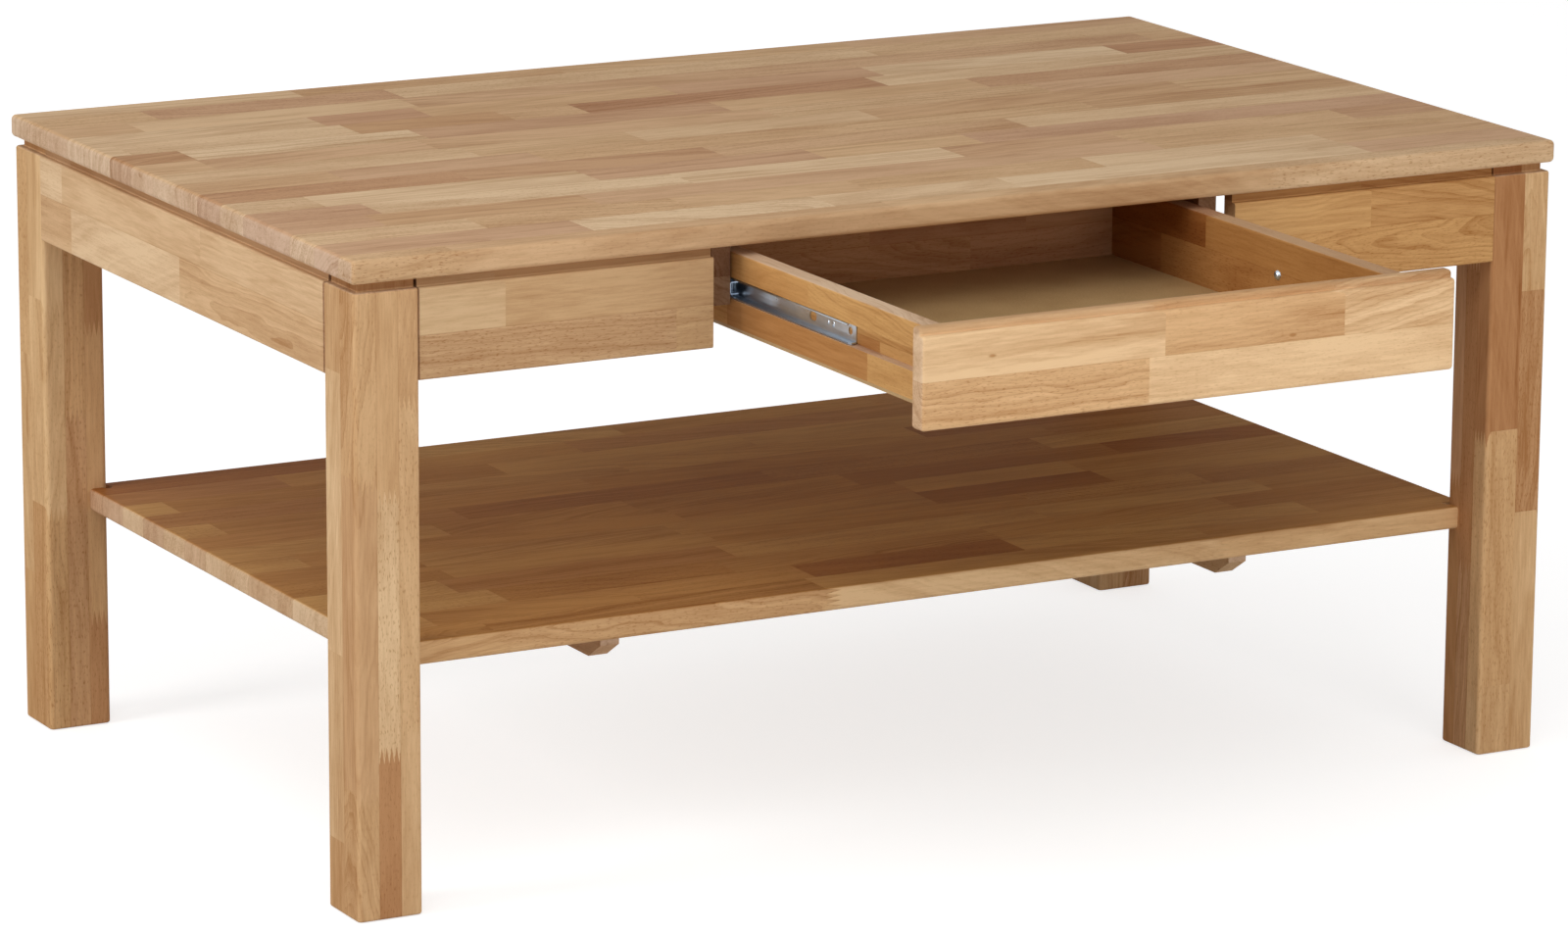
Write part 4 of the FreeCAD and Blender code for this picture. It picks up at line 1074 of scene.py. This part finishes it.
class COFFEE_OT_slides(bpy.types.Operator):
    """Roll the outer slide channels, with their holes, slots and end tabs"""
    bl_idname = "coffee_table.slides"
    bl_label = "Drawer slides"

    def execute(self, context):
        for side, sign in (("left", -1), ("right", 1)):
            node = "slide_drawer_member_" + side
            channel = self.roll(node, sign)
            finish_steel(channel, "drawer", node)
        return {"FINISHED"}

    def roll(self, node, sign):
        """One channel: its sheet, the holes in its web, and the peened ends on it."""
        low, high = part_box(node)
        web = min(low[X], high[X], key=abs)
        centre = (low[Z] + high[Z]) / 2
        front, back = low[Y], high[Y]
        half = [(web + sign * (SHEET / 2 + out), up) for out, up in RACEWAY]
        outline = [(x, front, centre - up) for x, up in reversed(half)]
        outline += [(x, front, centre + up) for x, up in half]
        channel = pen(node + "_rolled")
        draw(outline)
        bpy.ops.mesh.select_all(action="SELECT")
        bpy.ops.mesh.extrude_region_move(TRANSFORM_OT_translate={"value": (0, back - front, 0)})
        bpy.ops.object.mode_set(mode="OBJECT")
        flange = centre - max(up for out, up in RACEWAY) + FLANGE_BOW
        pick_points(channel, lambda point: point.y < front + TINY and point.z < flange)
        bpy.ops.mesh.extrude_region_move(TRANSFORM_OT_translate={"value": (0, -END_TAB, 0)})
        bpy.ops.mesh.extrude_region_move(TRANSFORM_OT_translate={"value": (0, -END_TAB / 2, END_TAB / 2)})
        bpy.ops.mesh.select_all(action="SELECT")
        bpy.ops.mesh.normals_make_consistent(inside=False)
        bpy.ops.object.mode_set(mode="OBJECT")
        apply_modifier(channel, "SOLIDIFY", {"thickness": SHEET, "offset": 0.0, "use_even_offset": True})
        for end, inward in ((front, 1), (back, -1)):
            self.drill(channel, web, end + inward * HOLE_INSET, centre, HOLE_DIAMETER / 2, 0)
            self.drill(channel, web, end + inward * SLOT_INSET, centre, SLOT_HEIGHT / 2,
                       SLOT_LENGTH - SLOT_HEIGHT)
        studs = [self.stud(web + sign * SHEET, front + inset, centre, sign, radius)
                 for inset, radius in ((BOLT_INSET, BOLT_END), (DIMPLE_INSET, DIMPLE))]
        return joined(node + "_rolled", [channel, *studs])

    def drill(self, channel, x, y, z, radius, stretch):
        """A hole through the web, drawn out along Y into a slot."""
        bpy.ops.object.select_all(action="DESELECT")
        bpy.ops.mesh.primitive_cylinder_add(vertices=DRILL_STEPS, radius=radius, depth=6 * SHEET,
                                            location=(x, y, z), rotation=(0, math.pi / 2, 0))
        bpy.ops.object.transform_apply()
        bit = bpy.context.active_object
        if stretch:
            for way in (-1, 1):
                pick_points(bit, lambda point: way * (point.y - y) > TINY)
                bpy.ops.transform.translate(value=(0, way * stretch / 2, 0))
                bpy.ops.object.mode_set(mode="OBJECT")
        cut(channel, bit)

    def stud(self, x, y, z, sign, radius):
        """A low dome on the web: a peened bolt end or a pressed dimple."""
        outline = [(wide * radius, high * STUD_RISE) for wide, high in STUD_BOW]
        dome = turned("stud", outline, FINE_STEPS)
        dome.data.transform(Matrix.Translation((x, y, z)) @ Matrix.Rotation(sign * math.pi / 2, 4, "Y"))
        return dome


class COFFEE_OT_stage(bpy.types.Operator):
    """Set the floor, the light and the camera"""
    bl_idname = "coffee_table.stage"
    bl_label = "Stage"

    def execute(self, context):
        stage = context.scene.coffee_table_stage
        self.lay_floor(stage)
        self.light_world(context.scene, stage)
        for name, (power, size, place) in LAMPS.items():
            lamp(name, power * stage.lamps, size, place, LAMP_TARGET)
        self.place_camera(context.scene, stage)
        context.scene.view_settings.view_transform = "Standard"
        return {"FINISHED"}

    def lay_floor(self, stage):
        """A pale floor that glows for the camera and keeps the shadow."""
        bpy.ops.object.select_all(action="DESELECT")
        bpy.ops.mesh.primitive_plane_add(size=FLOOR_SIZE, location=(0, 0, -FLOOR_DROP))
        floor = bpy.context.active_object
        floor.name = "floor"
        finish = Finish("pale_floor")
        finish.set(finish.shader, {"Base Color": (*stage.floor, 1.0), "Roughness": FLOOR_ROUGH})
        glow = finish.add("ShaderNodeEmission", {}, {"Strength": seen_directly(finish) * stage.glow})
        shaders = {0: finish.field(finish.shader), 1: finish.field(glow)}
        total = finish.add("ShaderNodeAddShader", {}, shaders)
        finish.set(finish.output, {"Surface": finish.field(total)})
        floor.data.materials.append(finish.material)

    def light_world(self, scene, stage):
        """Even light, stronger from above, white where the camera or a mirror sees it."""
        world = bpy.data.worlds.new("studio")
        scene.world = world
        world.use_nodes = True
        nodes = Nodes(world.node_tree)
        height = nodes.split(nodes.field(nodes.add("ShaderNodeTexCoord"), "Generated"))[Z]
        lifted = nodes.math("MAXIMUM", height, 0.0)
        sky = lifted * (stage.ambient * (1 - stage.horizon)) + stage.ambient * stage.horizon
        seen = seen_directly(nodes)
        strength = sky + seen * (1 - sky)
        nodes.set(world.node_tree.nodes["Background"], {"Color": (1, 1, 1, 1), "Strength": strength})

    def place_camera(self, scene, stage):
        """A long lens from the front left, a little above the top."""
        turn, rise, roll = (math.radians(a) for a in (stage.turn, stage.height, stage.roll))
        right = Vector((math.cos(turn), math.sin(turn), 0))
        back = Vector((math.sin(turn) * math.cos(rise), -math.cos(turn) * math.cos(rise), math.sin(rise)))
        up = back.cross(right)
        leaning_right = right * math.cos(roll) + up * math.sin(roll)
        leaning_up = up * math.cos(roll) - right * math.sin(roll)
        data = bpy.data.cameras.new("photo_camera")
        data.sensor_width = SENSOR_WIDTH
        data.lens = stage.lens
        camera = link(bpy.data.objects.new("photo_camera", data))
        stance = Matrix((leaning_right, leaning_up, back)).transposed()
        camera.matrix_world = Matrix.Translation(stage.place) @ stance.to_4x4()
        scene.camera = camera


class COFFEE_PT_panel(bpy.types.Panel):
    """Lists the steps of the table"""
    bl_label = "Coffee table"
    bl_idname = "COFFEE_PT_panel"
    bl_space_type = "VIEW_3D"
    bl_region_type = "UI"
    bl_category = "Coffee table"

    def draw(self, context):
        for settings in SETTINGS:
            group = getattr(context.scene, "coffee_table_" + settings)
            for name in group.bl_rna.properties.keys():
                if name not in ("rna_type", "name"):
                    self.layout.prop(group, name)
        for step in STEPS:
            self.layout.operator(step.bl_idname)


SETTINGS = {"wood": WoodSettings, "metal": MetalSettings, "stage": StageSettings}
STEPS = (COFFEE_OT_top, COFFEE_OT_frame, COFFEE_OT_drawer, COFFEE_OT_metal, COFFEE_OT_fasteners,
         COFFEE_OT_slides, COFFEE_OT_stage)
CLASSES = (*SETTINGS.values(), *STEPS, COFFEE_PT_panel)


def register():
    """Adds the classes and the scene's settings."""
    for item in CLASSES:
        bpy.utils.register_class(item)
    for name, group in SETTINGS.items():
        setattr(bpy.types.Scene, "coffee_table_" + name, bpy.props.PointerProperty(type=group))


def unregister():
    """Removes the settings and the classes."""
    for name in SETTINGS:
        delattr(bpy.types.Scene, "coffee_table_" + name)
    for item in reversed(CLASSES):
        bpy.utils.unregister_class(item)


def main():
    """Makes the table step by step."""
    register()
    bpy.ops.object.select_all(action="DESELECT")
    bpy.ops.coffee_table.top()
    bpy.ops.coffee_table.frame()
    bpy.ops.coffee_table.drawer()
    bpy.ops.coffee_table.metal()
    bpy.ops.coffee_table.fasteners()
    bpy.ops.coffee_table.slides()
    bpy.ops.coffee_table.stage()


if __name__ == "__main__":
    main()
